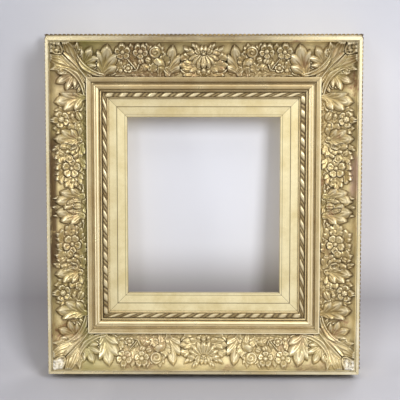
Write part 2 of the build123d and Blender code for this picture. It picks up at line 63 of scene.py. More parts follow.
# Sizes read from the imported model
half_width = -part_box("inner_slip_left")[1].x
half_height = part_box("inner_slip_top")[0].z
cove_low, cove_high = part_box("cove_board_top")
cove_in = cove_low.z - half_height
cove_out = cove_high.z - half_height
cove_top = -cove_low.y
cove_width = cove_out - cove_in
rope_low, rope_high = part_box("rope_top")
rope_in = rope_low.z - half_height
rope_out = rope_high.z - half_height
rope_middle = (rope_in + rope_out) / 2
rope_base = -rope_high.y
rope_height = rope_high.y - rope_low.y
pearl_low, pearl_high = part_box("pearl_string_top")
pearl_base = pearl_low.z - half_height
pearl_radius = pearl_high.z - pearl_low.z
pearl_depth = -(pearl_low.y + pearl_high.y) / 2

# The cove's section, as in the model: a flat, a wide sweep, a tighter rise and a land
COVE_FLAT = 11.2 * MM
SWEEP_RADIUS = 80.0 * MM
SWEEP_TURN = math.radians(35)
RISE_RADIUS = 24.0 * MM

# Ornament places, as shares of the distance from the middle to the fillet's corner
SPRAY_PLACE_SHARE = 0.532
STILE_SPRAY_PLACE_SHARE = 0.543

# Fineness of the ornament, its sink into the cove, the most that it leans with it and the skin around it
GRID_STEP = 0.75 * MM
SINK = 1.0 * MM
MOST_LEAN = math.radians(42)
SKIN_RISE = 0.35 * MM
SKIN_SINK = 0.20 * MM

# Reach of the castings: gaps to the fillet and to the rail, and the band in which the corner turns
FOOT_GAP = 0.6 * MM
RAIL_GAP = 0.5 * MM
MITRE_BAND = 16 * MM

# Shares of the cove's width: rim, groove, least height and skin of an element, rosette and foliage
EDGE_SHARE = 0.018
GROOVE_SHARE = 0.016
LEAST_BODY = 0.004
SKIN_REACH_SHARE = 0.05
ROSETTE_SHARE = 0.83
ROSETTE_BEADS = 5
CORNER_HOLLOW_SHARE = 0.62
FOLIAGE_LENGTH = 0.26

# Shares too: the unevenness, and what counts as a deep hollow, low relief, a full ridge and a high tip.
# Hollows and low relief get patina and painted shade, ridges rubbed gold, and high tips painted highlights.
UNEVENNESS = 0.0016
HOLLOW_DEPTH = 0.017
LOW_RELIEF = 0.022
RIDGE_HEIGHT = 0.015
TIP_LEVEL = 0.105
TIP_RISE = 0.055

# Rope and pearls: pitch, points in a ring, step between rings and sink of the feet
ROPE_PITCH = 27.0 * MM
ROPE_RING = 22
ROPE_STEP = 0.8 * MM
ROPE_LEAD_SHARE = 0.55
THIN_STRAND_SHARE = 0.34
PEARL_PITCH = 8.4 * MM
PEARL_RING = 14
PEARL_STEP = 0.6 * MM
FOOT_SINK = 0.8 * MM

# Each side: middle of its sight edge, direction along it, direction outward and half its length
SIDES = {
    "top": (Vector((0, 0, half_height)), Vector((1, 0, 0)), Vector((0, 0, 1)), half_width),
    "right": (Vector((half_width, 0, 0)), Vector((0, 0, -1)), Vector((1, 0, 0)), half_height),
    "bottom": (Vector((0, 0, -half_height)), Vector((-1, 0, 0)), Vector((0, 0, -1)), half_width),
    "left": (Vector((-half_width, 0, 0)), Vector((0, 0, 1)), Vector((-1, 0, 0)), half_height),
}


# Node materials
class Nodes:
    """A node tree, built by short calls."""

    def __init__(self, owner):
        owner.use_nodes = True
        self.tree = owner.node_tree

    def add(self, kind, **settings):
        """Add a node with some settings."""
        node = self.tree.nodes.new(kind)
        for key, value in settings.items():
            setattr(node, key, value)
        return node

    def feed(self, socket, value):
        """Set a socket to a number or colour, or link it to another socket."""
        if isinstance(value, bpy.types.NodeSocket):
            self.tree.links.new(value, socket)
        else:
            socket.default_value = value

    def node(self, kind, output, inputs, **settings):
        """Add a node, feed its inputs and give one of its outputs."""
        node = self.add(kind, **settings)
        for key, value in inputs.items():
            self.feed(node.inputs[key], value)
        return node.outputs[output]


class Shader(Nodes):
    """A material's node tree, which lays one tone over another."""

    def __init__(self, name, colour):
        self.material = bpy.data.materials.new(name)
        super().__init__(self.material)
        self.tree.nodes.clear()
        self.surface = self.add("ShaderNodeBsdfPrincipled")
        self.output = self.add("ShaderNodeOutputMaterial")
        self.feed(self.output.inputs[0], self.surface.outputs[0])
        self.place = self.add("ShaderNodeTexCoord").outputs["Object"]
        self.colour = colour

    def finish(self, roughness, normal=None):
        """Feed the surface and give the material."""
        self.feed(self.surface.inputs["Base Color"], self.colour)
        self.feed(self.surface.inputs["Roughness"], roughness)
        if normal is not None:
            self.feed(self.surface.inputs["Normal"], normal)
        return self.material

    def scaled(self, scale):
        """Stretch the object's coordinates, to draw grain and streaks."""
        return self.node("ShaderNodeMapping", 0, {"Vector": self.place, "Scale": scale})

    def noise(self, scale, detail=3.0, rough=0.55, vector=None):
        """Give cloudy noise."""
        inputs = {"Vector": vector or self.place, "Scale": scale, "Detail": detail, "Roughness": rough}
        return self.node("ShaderNodeTexNoise", "Fac", inputs)

    def spread(self, value, low, high, new_low=0.0, new_high=1.0):
        """Map a range of values to another, clamped."""
        inputs = {"Value": value, "From Min": low, "From Max": high, "To Min": new_low, "To Max": new_high}
        return self.node("ShaderNodeMapRange", "Result", inputs)

    def math(self, operation, a, b, clamp=False):
        """Work out a sum of two values."""
        return self.node("ShaderNodeMath", 0, {0: a, 1: b}, operation=operation, use_clamp=clamp)

    def times(self, first, *others):
        """Multiply shares."""
        for other in others:
            first = self.math("MULTIPLY", first, other, True)
        return first

    def along(self, axis):
        """Give the coordinate along an axis."""
        return self.node("ShaderNodeSeparateXYZ", axis, {0: self.place})

    def away(self, value, spot=0.0):
        """Give how far a value lies from a spot, to either side."""
        return self.math("ABSOLUTE", self.math("SUBTRACT", value, spot), 0.0)

    def beyond_sight(self):
        """Give how far a point lies beyond the sight edge, across and up."""
        across, up = self.away(self.along("X")), self.away(self.along("Z"))
        return self.math("SUBTRACT", across, half_width), self.math("SUBTRACT", up, half_height)

    def paint(self, tone, *shares):
        """Lay a tone over the colour, as strong as some shares together."""
        inputs = {"Factor": self.times(*shares), 6: self.colour, 7: tone}
        self.colour = self.node("ShaderNodeMix", 2, inputs, data_type="RGBA")

    def attribute(self, name):
        """Read a value that the mesh carries."""
        return self.add("ShaderNodeAttribute", attribute_name=name).outputs["Fac"]

    def recess(self, reach):
        """Give 1 where the surface lies in a recess narrower than the reach."""
        open_share = self.node("ShaderNodeAmbientOcclusion", "AO", {"Distance": reach}, samples=6)
        return self.spread(open_share, 0.95, 0.25)

    def bump(self, height, distance, strength, normal=None):
        """Raise the surface a little by a height."""
        inputs = {"Height": height, "Distance": distance, "Strength": strength}
        if normal is not None:
            inputs["Normal"] = normal
        return self.node("ShaderNodeBump", 0, inputs)


def rgb(red, green, blue):
    """Turn a colour as seen on a screen, 0 to 255, into the renderer's linear colour."""
    values = [c / 255 for c in (red, green, blue)]
    linear = [c / 12.92 if c <= 0.04045 else ((c + 0.055) / 1.055) ** 2.4 for c in values]
    return (*linear, 1.0)


PALE_GOLD = rgb(234, 221, 176)
GOLD = rgb(196, 175, 124)
DEEP_GOLD = rgb(158, 134, 82)
# Rubbed gold, also the colour of painted highlights
RUBBED_AND_HIGHLIGHT_GOLD = rgb(250, 238, 200)
# Patina, also the colour of painted shade in recesses, grooves and along the rail
PATINA_AND_SHADE = rgb(80, 62, 32)
BOLE = rgb(150, 92, 66)
GREEN_TARNISH = rgb(140, 134, 70)
GESSO = rgb(236, 230, 214)
RAIL_SOIL = rgb(84, 60, 36)
FILLET_SOIL = rgb(112, 84, 62)
# Brown for the middles of the top and bottom sides: painted shade, and on the rail patina too
MIDDLE_BROWN_AND_SHADE = rgb(120, 94, 52)
WORN_PINK = rgb(190, 158, 140)
WOOD_STAIN = rgb(70, 48, 30)

# Where the wear lies: height above the middle, how far it reaches up and down, and how far it is full
SOIL_LEVEL, SOIL_REACH, SOIL_CORE = 0.01, 0.16, 0.11
PINK_LEVEL, PINK_REACH, PINK_CORE = 0.06, 0.05, 0.03

# The chips about a rosette, the dark line of a mitre, and the height over which top changes to bottom
CHIP_REACH, CHIP_CORE = 13 * MM, 8 * MM
MITRE_LINE = 0.7 * MM
SIDE_CHANGE = 10 * MM


def tarnish(shader, mottle, wear):
    """Lay ragged patches of red ground and clouds of green."""
    patches = shader.spread(shader.noise(13.0, 5.0, 0.68), 0.54, 0.61)
    shader.paint(BOLE, patches, shader.spread(mottle, 0.35, 0.6), wear)
    shader.paint(GREEN_TARNISH, shader.spread(shader.noise(7.0, 3.0, 0.6), 0.52, 0.62, 0.0, 0.26))


def soil_and_shade_cove(shader, amount):
    """Lay a dark band by the rail, soil with painted shade where the cove meets the rail, more soil by the
    rail on the left, soil by the top fillet, green by the left fillet and a pink patch on the right.
    """
    across, up = shader.beyond_sight()
    side, level = shader.along("X"), shader.along("Z")
    leftward = shader.spread(side, -half_width, -half_width - cove_in)
    rightward = shader.spread(side, half_width, half_width + cove_in)
    topward = shader.spread(level, half_height, half_height + cove_in)
    smear = shader.spread(shader.noise(6.0, 4.0, 0.7), 0.42, 0.56)
    torn = shader.spread(shader.noise(30.0, 4.0, 0.65), 0.36, 0.46)

    def by_rail(distance, low, high=0.0):
        return shader.spread(distance, cove_out - low * cove_width, cove_out - high * cove_width)

    def by_fillet(distance, low, high, most):
        return shader.spread(distance, cove_in + low * cove_width, cove_in + high * cove_width, 0.0, most)

    soil_height = shader.spread(shader.away(level, SOIL_LEVEL), SOIL_REACH, SOIL_CORE)
    pink_height = shader.spread(shader.away(level, PINK_LEVEL), PINK_REACH, PINK_CORE)
    # A dark band along the rail on every side: soil, with painted shade where the cove meets the rail
    shader.paint(PATINA_AND_SHADE, by_rail(shader.math("MAXIMUM", across, up), 0.22), smear, amount)
    shader.paint(RAIL_SOIL, by_rail(across, 0.20, 0.12), leftward, soil_height, torn, 0.9)
    shader.paint(WORN_PINK, by_rail(across, 0.24, 0.14), rightward, pink_height, torn, 0.7)
    shader.paint(GREEN_TARNISH, by_fillet(across, 0.30, 0.06, 0.75), leftward)
    shader.paint(FILLET_SOIL, by_fillet(up, 0.25, 0.04, 0.6), topward, smear)


def rule(shader, tone, marks, top_share):
    """Draw lines along the sides, each at its distance beyond the sight edge, fainter on the top side. Dark
    lines are patina and painted shade; bright ones are painted highlights.
    """
    across, up = shader.beyond_sight()
    out = shader.math("MAXIMUM", across, up)
    on_top = shader.spread(shader.along("Z"), 0.0, SIDE_CHANGE)
    above = shader.times(shader.math("GREATER_THAN", up, across), on_top)
    fade = shader.spread(above, 0.0, 1.0, 1.0, top_share)
    for place, half_line, share in marks:
        line = shader.spread(shader.away(out, place), half_line, half_line * 0.4, 0.0, share)
        shader.paint(tone, line, fade)


def brown_and_shade_middles(shader, top_share, bottom_share, middle_reach):
    """Tint the middle of the top and bottom sides brown: painted shade, and on the rail patina too."""
    across, up = shader.beyond_sight()
    level = shader.math("GREATER_THAN", up, across)
    side = shader.spread(shader.along("Z"), -SIDE_CHANGE, SIDE_CHANGE, bottom_share, top_share)
    middle = shader.spread(shader.away(shader.along("X")), middle_reach, middle_reach * 0.2)
    uneven_share = shader.spread(shader.noise(9.0, 4.0, 0.6), 0.30, 0.60, 0.45, 1.0)
    shader.paint(MIDDLE_BROWN_AND_SHADE, level, middle, uneven_share, side)


def rub_and_highlight_edges(shader, rounded):
    """Lighten the edges, where the rounded normal bends away from the flat one: rubbed wear and a painted
    highlight.
    """
    flat = shader.add("ShaderNodeNewGeometry").outputs["Normal"]
    bend = shader.node("ShaderNodeVectorMath", "Value", {0: rounded, 1: flat}, operation="DOT_PRODUCT")
    shader.paint(RUBBED_AND_HIGHLIGHT_GOLD, shader.spread(bend, 0.995, 0.93, 0.0, 0.55))


def chips(shader):
    """Give 1 on the worn rosettes of the two bottom corners."""
    spot = cove_in + ROSETTE_SHARE * cove_width
    off_x = shader.math("SUBTRACT", shader.away(shader.along("X")), half_width + spot)
    off_z = shader.math("ADD", shader.along("Z"), half_height + spot)
    far = shader.math("ADD", shader.math("POWER", off_x, 2.0), shader.math("POWER", off_z, 2.0))
    near = shader.spread(far, CHIP_REACH**2, CHIP_CORE**2)
    return shader.times(near, shader.spread(shader.noise(140.0, 3.0, 0.6), 0.34, 0.46))


def gilding(
    name, light, dark, metal, rough, reach, wear=0.0, cove_soil_and_shade=0.0, fleck=1.0, grain=None, round_edge=0.0,
    relief=False, chipped=False, painted_light_below=False, middle_brown_and_shade=None, lines=(), painted_highlights=(),
):
    """Gilding over a worn ground: clouded colour, recesses darkened with patina and painted shade, high
    points lightened with rubbed gold and painted highlights, and fine pits.
    """
    shader = Shader(name, light)
    clouds = shader.noise(22.0, 4.0, 0.6)
    mottle = shader.noise(170.0, 3.0, 0.6)
    speckle = shader.noise(900.0, 2.0, 0.7)
    shader.paint(dark, shader.spread(clouds, 0.36, 0.66))
    shader.paint(dark, shader.spread(mottle, 0.52, 0.74, 0.0, 0.40 * fleck))
    shader.paint(PATINA_AND_SHADE, shader.spread(speckle, 0.60, 0.72, 0.0, 0.35 * fleck))
    normal = None
    if round_edge:
        normal = shader.node("ShaderNodeBevel", 0, {"Radius": round_edge}, samples=4)
    if grain:
        streaks = shader.noise(1.0, 3.0, 0.65, shader.scaled(grain))
        shader.paint(dark, shader.spread(streaks, 0.50, 0.80, 0.0, 0.45))
    if wear:
        tarnish(shader, mottle, wear)
    if cove_soil_and_shade:
        soil_and_shade_cove(shader, cove_soil_and_shade)
    # Painted highlights in bright lines, and dark lines of patina and painted shade
    if painted_highlights:
        rule(shader, RUBBED_AND_HIGHLIGHT_GOLD, painted_highlights, 0.15)
    if lines:
        rule(shader, PATINA_AND_SHADE, lines, 0.8)
    if round_edge:
        rub_and_highlight_edges(shader, normal)
    if middle_brown_and_shade:
        brown_and_shade_middles(shader, *middle_brown_and_shade)
    across, up = shader.beyond_sight()
    shader.paint(PATINA_AND_SHADE, shader.spread(shader.away(across, up), MITRE_LINE, MITRE_LINE * 0.4), 0.65)
    # Patina and painted shade in the recesses, found by ambient occlusion and, on reliefs, by the hollow
    # field
    deep = shader.recess(reach)
    if relief:
        deep = shader.math("MAXIMUM", shader.times(deep, 0.75), shader.attribute("hollow"), True)
    deep = shader.times(deep, shader.spread(shader.noise(260.0, 3.0, 0.7), 0.3, 0.6, 0.55, 1.0))
    # Painted light: the bottom side is paler and its recesses less dark, as if lit from above
    if painted_light_below:
        start = -half_height - cove_in
        low = shader.spread(shader.along("Z"), start, start - 0.1 * cove_width)
        shader.paint(PALE_GOLD, low, 0.24)
        deep = shader.times(deep, shader.spread(low, 0.0, 1.0, 1.0, 0.62))
    # Rubbed gold on the ridges, with painted highlights on the high tips
    if relief:
        shader.paint(RUBBED_AND_HIGHLIGHT_GOLD, shader.attribute("ridge"), 0.85)
    shader.paint(PATINA_AND_SHADE, deep)
    if chipped:
        bare = chips(shader)
        shader.paint(GESSO, bare)
        deep = shader.math("MAXIMUM", deep, shader.times(bare, 0.8), True)
    shader.feed(shader.surface.inputs["Metallic"], shader.spread(deep, 0.0, 0.8, metal, 0.10))
    roughness = shader.spread(clouds, 0.3, 0.7, rough - 0.05, rough + 0.07)
    roughness = shader.math("ADD", roughness, shader.times(deep, 0.3), True)
    if grain:
        normal = shader.bump(streaks, 0.10 * MM, 0.4, normal)
    if fleck:
        normal = shader.bump(speckle, 0.10 * MM * fleck, 0.4, normal)
        normal = shader.bump(mottle, 0.35 * MM * fleck, 0.5, normal)
    return shader.finish(roughness, normal)


def bare_wood(name, light, dark, grain):
    """Old bare wood with grain along one axis and a few dark stains."""
    shader = Shader(name, light)
    rings = shader.noise(1.0, 4.0, 0.6, shader.scaled(grain))
    shader.paint(dark, shader.spread(rings, 0.35, 0.68))
    shader.paint(WOOD_STAIN, shader.spread(shader.noise(9.0, 4.0, 0.6), 0.5, 0.8, 0.0, 0.6))
    return shader.finish(shader.spread(rings, 0.3, 0.7, 0.65, 0.85), shader.bump(rings, 0.4 * MM, 0.6))


def dull_metal(name, light, dark, rough):
    """Handled metal: tarnish in clouds and fine scratches."""
    shader = Shader(name, light)
    clouds = shader.noise(120.0, 4.0, 0.6)
    scratches = shader.noise(1.0, 2.0, 0.5, shader.scaled(SCRATCH_GRAIN))
    shader.paint(dark, shader.spread(clouds, 0.35, 0.7))
    shader.feed(shader.surface.inputs["Metallic"], 1.0)
    roughness = shader.spread(clouds, 0.3, 0.7, rough, rough + 0.2)
    return shader.finish(roughness, shader.bump(scratches, 0.05 * MM, 0.5))


EDGE_ROUND = 0.7 * MM

# Fineness of the grain along X, Y and Z
ACROSS_GRAIN = (6, 400, 400)
UP_GRAIN = (400, 400, 6)
COVE_GRAIN = (260, 60, 700)
SCRATCH_GRAIN = (300, 300, 3000)

# Dark lines of patina and painted shade in grooves and quirks, and bright ones, painted highlights: distance
# beyond the sight edge, half width and strength
SLIP_LINES = ((0.3 * MM, 0.9 * MM, 0.45), (4.6 * MM, 0.8 * MM, 0.60), (20.35 * MM, 1.0 * MM, 0.78))
MOULDING_LINES = ((74.3 * MM, 0.9 * MM, 0.45), (69.2 * MM, 2.4 * MM, 0.34), (60.1 * MM, 0.9 * MM, 0.34))
MOULDING_PAINTED_HIGHLIGHTS = ((77.6 * MM, 1.7 * MM, 0.85), (63.2 * MM, 2.2 * MM, 0.90), (57.2 * MM, 1.5 * MM, 0.75))
RAIL_LINES = ((cove_out, 1.6 * MM, 0.65),)

# Materials. The brown middles, painted shade and on the rail patina too, are given by their shares on the
# top and bottom sides and their reach from the middle.
slip_gold = {
    grain: gilding(
        f"slip_gold_{word}", PALE_GOLD, rgb(212, 195, 144), 0.35, 0.42, 3 * MM, fleck=0.8, grain=grain,
        middle_brown_and_shade=(0.26, 0.0, 1.0), lines=SLIP_LINES,
    )
    for word, grain in (("across", ACROSS_GRAIN), ("up", UP_GRAIN))
}
moulding_gold = gilding(
    "moulding_gold", rgb(232, 212, 162), rgb(206, 180, 126), 0.45, 0.30, 4 * MM, fleck=0.0,
    round_edge=EDGE_ROUND, middle_brown_and_shade=(0.5, 0.0, 0.6), lines=MOULDING_LINES, painted_highlights=MOULDING_PAINTED_HIGHLIGHTS,
)
rope_gold = gilding("rope_gold", GOLD, DEEP_GOLD, 0.50, 0.30, 5 * MM, fleck=0.4, relief=True)
cove_gold = gilding(
    "cove_gold", rgb(236, 218, 164), rgb(204, 182, 126), 0.35, 0.44, 9 * MM, 0.9, 0.6, 1.5, COVE_GRAIN,
    painted_light_below=True,
)
ornament_gold = gilding(
    "ornament_gold", GOLD, DEEP_GOLD, 0.52, 0.34, 5 * MM, 0.5, 0.6, 0.5, relief=True, chipped=True,
    painted_light_below=True, middle_brown_and_shade=(0.35, 0.0, 1.0),
)
rail_gold = gilding(
    "rail_gold", rgb(246, 234, 198), rgb(224, 206, 156), 0.50, 0.25, 5 * MM, fleck=0.0,
    round_edge=EDGE_ROUND, middle_brown_and_shade=(0.9, 0.5, 0.27), lines=RAIL_LINES,
)
pearl_gold = gilding("pearl_gold", DEEP_GOLD, PATINA_AND_SHADE, 0.40, 0.42, 5 * MM, relief=True)
pine = {
    grain: bare_wood(f"pine_{word}", rgb(184, 158, 120), rgb(134, 108, 76), grain)
    for word, grain in (("across", ACROSS_GRAIN), ("up", UP_GRAIN))
}
key_wood = bare_wood("key_wood", rgb(140, 98, 62), rgb(96, 62, 38), ACROSS_GRAIN)
brass = dull_metal("brass", rgb(196, 160, 92), rgb(140, 106, 54), 0.35)
plated = dull_metal("plated_steel", rgb(206, 186, 138), rgb(150, 128, 84), 0.32)
screw_steel = dull_metal("screw_steel", rgb(168, 160, 146), rgb(110, 98, 84), 0.38)
brad_steel = dull_metal("brad_steel", rgb(98, 90, 84), rgb(70, 52, 40), 0.5)


def dress(node, material):
    """Give a carried-over node its material."""
    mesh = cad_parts[node].data
    mesh.materials.clear()
    mesh.materials.append(material)


for side in SIDES:
    grain = ACROSS_GRAIN if side in ("top", "bottom") else UP_GRAIN
    dress(f"inner_slip_{side}", slip_gold[grain])
    dress(f"outer_slip_{side}", slip_gold[grain])
    dress(f"inner_moulding_{side}", moulding_gold)
    dress(f"cove_board_{side}", cove_gold)
    dress(f"edge_board_{side}", rail_gold)
    dress(f"carcass_{side}", pine[grain])
    dress(f"turn_button_{side}", brass)
for side in ("left", "right"):
    dress(f"hanger_strap_{side}", plated)
    dress(f"hanger_ring_{side}", plated)
dress("corner_keys", key_wood)
dress("hanger_screws", screw_steel)
dress("turn_button_screws", screw_steel)
dress("slip_brads", brad_steel)


# Section of the cove, sampled along its arc
FLAT_SAMPLES = 20
CURVE_SAMPLES = 60
LAND_SAMPLES = 6


def cove_section():
    """Sample arc length, distance out from the fillet, depth and tilt, from fillet to rail."""
    flat = np.linspace(0.0, COVE_FLAT, FLAT_SAMPLES)[:-1]
    turns = np.linspace(0.0, SWEEP_TURN, CURVE_SAMPLES)
    rises = np.linspace(SWEEP_TURN, math.pi / 2, CURVE_SAMPLES)[1:]
    floor = cove_top - SWEEP_RADIUS * (1 - math.cos(SWEEP_TURN)) - RISE_RADIUS * math.cos(SWEEP_TURN)
    sweep_out = COVE_FLAT + SWEEP_RADIUS * np.sin(turns)
    sweep_depth = floor + SWEEP_RADIUS * (1 - np.cos(turns))
    rise_axis = sweep_out[-1] - RISE_RADIUS * math.sin(SWEEP_TURN)
    rise_out = rise_axis + RISE_RADIUS * np.sin(rises)
    rise_depth = cove_top - RISE_RADIUS * np.cos(rises)
    land = np.linspace(rise_out[-1], cove_width, LAND_SAMPLES)[1:]
    out = np.concatenate([flat, sweep_out, rise_out, land])
    depth = np.concatenate([flat * 0 + floor, sweep_depth, rise_depth, land * 0 + cove_top])
    tilt = np.concatenate([flat * 0, turns, rises, land * 0])
    arc = np.concatenate([[0.0], np.cumsum(np.hypot(np.diff(out), np.diff(depth)))])
    return arc, out, depth, tilt


ARC, OUT, DEPTH, TILT = cove_section()
ARC_END = ARC[-LAND_SAMPLES]


def smooth(x):
    """Ease from 0 to 1."""
    x = np.clip(x, 0.0, 1.0)
    return x * x * (3 - 2 * x)


def crease(off, width):
    """Give 1 on a line and less to both sides of it."""
    return np.exp(-((off / width) ** 2))


def dome(off, radius):
    """Give the height of a half circle over its foot."""
    return np.sqrt(np.clip(1 - (off / radius) ** 2, 0, 1))


def bezier(path, samples=56):
    """Sample a Bezier curve through its control points."""
    points = np.array(path, float)[:, None, :]
    t = np.linspace(0, 1, samples)[:, None]
    while len(points) > 1:
        points = points[:-1] * (1 - t) + points[1:] * t
    return points[0]


def outline(t, width, widest, power, foot):
    """Give half the width of a leaf along its length."""
    bend = math.log(0.5) / math.log(widest)
    half = width / 2 * np.sin(np.pi * np.clip(t, 0.001, 0.999) ** bend) ** power
    return np.maximum(half, width * foot * (1 - t))


class Relief:
    """A height field over part of the cove. Heights and places are shares of its width."""

    def __init__(self, arc_u, arc_v, corner=False):
        self.arc_u, self.arc_v = np.meshgrid(arc_u, arc_v, indexing="ij")
        self.corner = corner
        self.u = (self.plan(self.arc_u) if corner else self.arc_u) / cove_width
        self.v = self.plan(self.arc_v) / cove_width
        self.height = np.zeros_like(self.u)
        self.cover = np.full_like(self.u, -1.0)

    @staticmethod
    def plan(arc):
        """Turn arc length into distance out from the fillet, straight on below zero."""
        return np.where(arc > 0, np.interp(arc, ARC, OUT), arc)

    def lay(self, window, inside, body, carve=0.75):
        """Lay an element over what is there; inside is the distance in from its outline."""
        old = self.height[window]
        old = old * (1 - carve * crease(np.minimum(inside, 0), GROOVE_SHARE) * (inside <= 0))
        share = smooth(inside / EDGE_SHARE)
        new = old * (1 - share) + np.maximum(body, LEAST_BODY) * share
        self.height[window] = np.where(inside > 0, new, old)
        self.cover[window] = np.maximum(self.cover[window], inside)

    def window(self, points, margin):
        """Find the part of the grid around some points."""
        low = points.min(0) - margin
        high = points.max(0) + margin
        hit = (self.u >= low[0]) & (self.u <= high[0]) & (self.v >= low[1]) & (self.v <= high[1])
        rows = np.where(hit.any(1))[0]
        columns = np.where(hit.any(0))[0]
        return slice(rows[0], rows[-1] + 1), slice(columns[0], columns[-1] + 1)

    def around(self, centre, radius):
        """Give the window around a spot, with each point's offset and distance from it."""
        window = self.window(np.array([centre]), radius)
        off_u, off_v = self.u[window] - centre[0], self.v[window] - centre[1]
        return window, off_u, off_v, np.hypot(off_u, off_v)

    def follow(self, path, margin):
        """Give each grid point near a curve its share along it, side distance and distance."""
        curve = bezier(path)
        window = self.window(curve, margin)
        u, v = self.u[window], self.v[window]
        gap = (u[..., None] - curve[:, 0]) ** 2 + (v[..., None] - curve[:, 1]) ** 2
        near = gap.argmin(-1)
        distance = np.sqrt(np.take_along_axis(gap, near[..., None], -1)[..., 0])
        tangent = np.gradient(curve, axis=0)
        tangent /= np.linalg.norm(tangent, axis=1)[:, None]
        off_u, off_v = u - curve[near, 0], v - curve[near, 1]
        beside = tangent[near, 0] * off_v - tangent[near, 1] * off_u
        ahead = tangent[near, 0] * off_u + tangent[near, 1] * off_v
        length = np.linalg.norm(np.diff(curve, axis=0), axis=1).sum()
        along = near / (len(curve) - 1) + np.clip(ahead / length, -0.02, 0.02)
        return window, np.clip(along, 0, 1), beside, distance

    def swath(self, path, width, *form):
        """Follow a leaf's path, and give its half width and the share across it too."""
        window, t, beside, distance = self.follow(path, width)
        half = outline(t, width, *form)
        return window, t, beside, distance, half, np.abs(beside) / np.maximum(half, 1e-4)


# Elements of the ornament. Paths run from base to tip. Each is modelled for a height of 1 and then raised
# to its own height; t runs along it and across is the share of its half width.
def leaf(relief, path, width, height, lobes=3, notch=0.30, widest=0.45, lean=0.30, base=0.40):
    """A leaf with pointed lobes along both edges, parted by sharp folds, and a sunken midrib."""
    peak = 0.70
    window, t, beside, distance, half, across = relief.swath(path, width, widest, 0.65, 0.10)
    phase = (lobes * t - 2 * lean * across) % 1.0
    tooth = np.where(phase < peak, phase / peak, (1 - phase) / (1 - peak))
    half = half * (1 - notch * (1 - tooth**0.75) * smooth((1.02 - t) / 0.1))
    across = np.abs(beside) / np.maximum(half, 1e-4)
    rise = (base + (1 - base) * smooth(t / 0.60)) * (1 - 0.08 * smooth((t - 0.78) / 0.22))
    body = rise * (1 - 0.42 * across**2)
    body -= 0.30 * crease(np.minimum(phase, 1 - phase), 0.11) * smooth((across - 0.12) / 0.55)
    body -= 0.12 * crease(phase - peak * 0.8, 0.06) * smooth((across - 0.1) / 0.3)
    body -= 0.30 * crease(beside, width * 0.04) * smooth((0.92 - t) / 0.25)
    relief.lay(window, half - distance, height * body)


def lobe(relief, path, width, height, widest=0.68):
    """A curled lobe: it swells to a round tip that folds over a dark pocket."""
    window, t, beside, distance, half, across = relief.swath(path, width, widest, 0.50, 0.16)
    pocket = widest * 0.80 - 0.10 * across**2
    body = (0.35 + 0.65 * smooth(t / widest) ** 1.3) * (1 - 0.50 * across**2)
    body -= 0.20 * smooth((t - widest - 0.08) / (0.92 - widest))
    body -= 0.30 * crease(t - pocket, 0.055) * smooth((1.02 - across) / 0.3)
    body -= 0.22 * crease(beside, width * 0.07) * smooth((pocket - t) / 0.15)
    relief.lay(window, half - distance, height * body)


def blade(relief, path, width, height, widest, base, groove, power, carve, waves=0):
    """A pointed blade, puffed towards its tip, with a groove down its middle or waves across it."""
    window, t, beside, distance, half, across = relief.swath(path, width, widest, power, 0.22)
    body = (base + (1 - base) * smooth(t / widest)) * (1 - 0.42 * across**2.5)
    body -= 0.26 * smooth((t - 0.70) / 0.30)
    body -= groove * crease(beside, width * 0.06) * smooth((0.80 - t) / 0.25)
    if waves:
        dip = 0.5 - 0.5 * np.cos(2 * np.pi * waves * across)
        body -= 0.17 * dip * smooth((1 - across) / 0.15)
    relief.lay(window, half - distance, height * body, carve)


def flute(relief, path, width, height, widest, base, power, waves=0):
    """A smooth blade that parts only faintly from what it lies on, plain or with waves across it."""
    blade(relief, path, width, height, widest, base, 0.0, power, 0.35, waves)


def acanthus(relief, path, width, height, pairs):
    """A broad leaf with deeply parted lobes and a raised rib at its foot."""
    leaf(relief, path, width * 1.12, height, pairs + 1, 0.42, 0.50, 0.45, 0.42)
    curve = bezier(path)
    rib = [curve[0], curve[len(curve) // 4], curve[len(curve) // 2]]
    stem(relief, rib, width * 0.08, height * 0.90, 0.4)


# Lobes of a maple leaf: foot and end along it, end aside and width
MAPLE_LOBES = ((0.00, 0.40, 0.54, 0.34), (0.05, 0.78, 0.46, 0.38), (0.12, 1.00, 0.0, 0.42))


def maple(relief, ends, height, breadth=0.85, fullness=1.1):
    """A broad leaf of five pointed lobes that fan from its foot, creased between them."""
    foot, tip = np.array(ends, float)
    axis = tip - foot
    beside = np.array([-axis[1], axis[0]]) * breadth
    inside = np.full_like(relief.height, -1.0)
    body = np.zeros_like(relief.height)
    for start, along, aside, share in MAPLE_LOBES:
        for hand in (-1, 1) if aside else (1,):
            low = foot + start * axis
            end = foot + along * axis + hand * aside * beside
            mid = foot + (0.5 * start + 0.5 * along + 0.04) * axis + hand * aside * 0.30 * beside
            width = math.hypot(*axis) * share * fullness
            window, t, off, distance, half, across = relief.swath([low, mid, end], width, 0.64, 0.74, 0.34)
            face = (0.46 + 0.54 * smooth(t / 0.85) ** 1.3) * (1 - 0.52 * across**2)
            face -= 0.16 * crease(off, width * 0.06) * smooth((0.85 - t) / 0.25)
            inside[window] = np.maximum(inside[window], half - distance)
            body[window] = np.maximum(body[window], np.where(distance < half, face, 0.0))
    relief.lay(np.s_[:, :], inside, height * body, 0.85)


def ring(relief, centre, radius, height, hole, floor):
    """A raised round rim about a shallow hollow."""
    window, _, _, reach = relief.around(centre, radius)
    rim = dome(reach - radius * (1 + hole) / 2, radius * (1 - hole) / 2)
    relief.lay(window, radius - reach, height * (floor + (1 - floor) * rim))


def stem(relief, path, width, height, taper=0.5):
    """A round stem or rib that thins towards its tip."""
    window, t, _, distance = relief.follow(path, width)
    half = width / 2 * (1 - taper * t)
    relief.lay(window, half - distance, height * dome(distance, half) * (1 - 0.3 * t), 0.6)


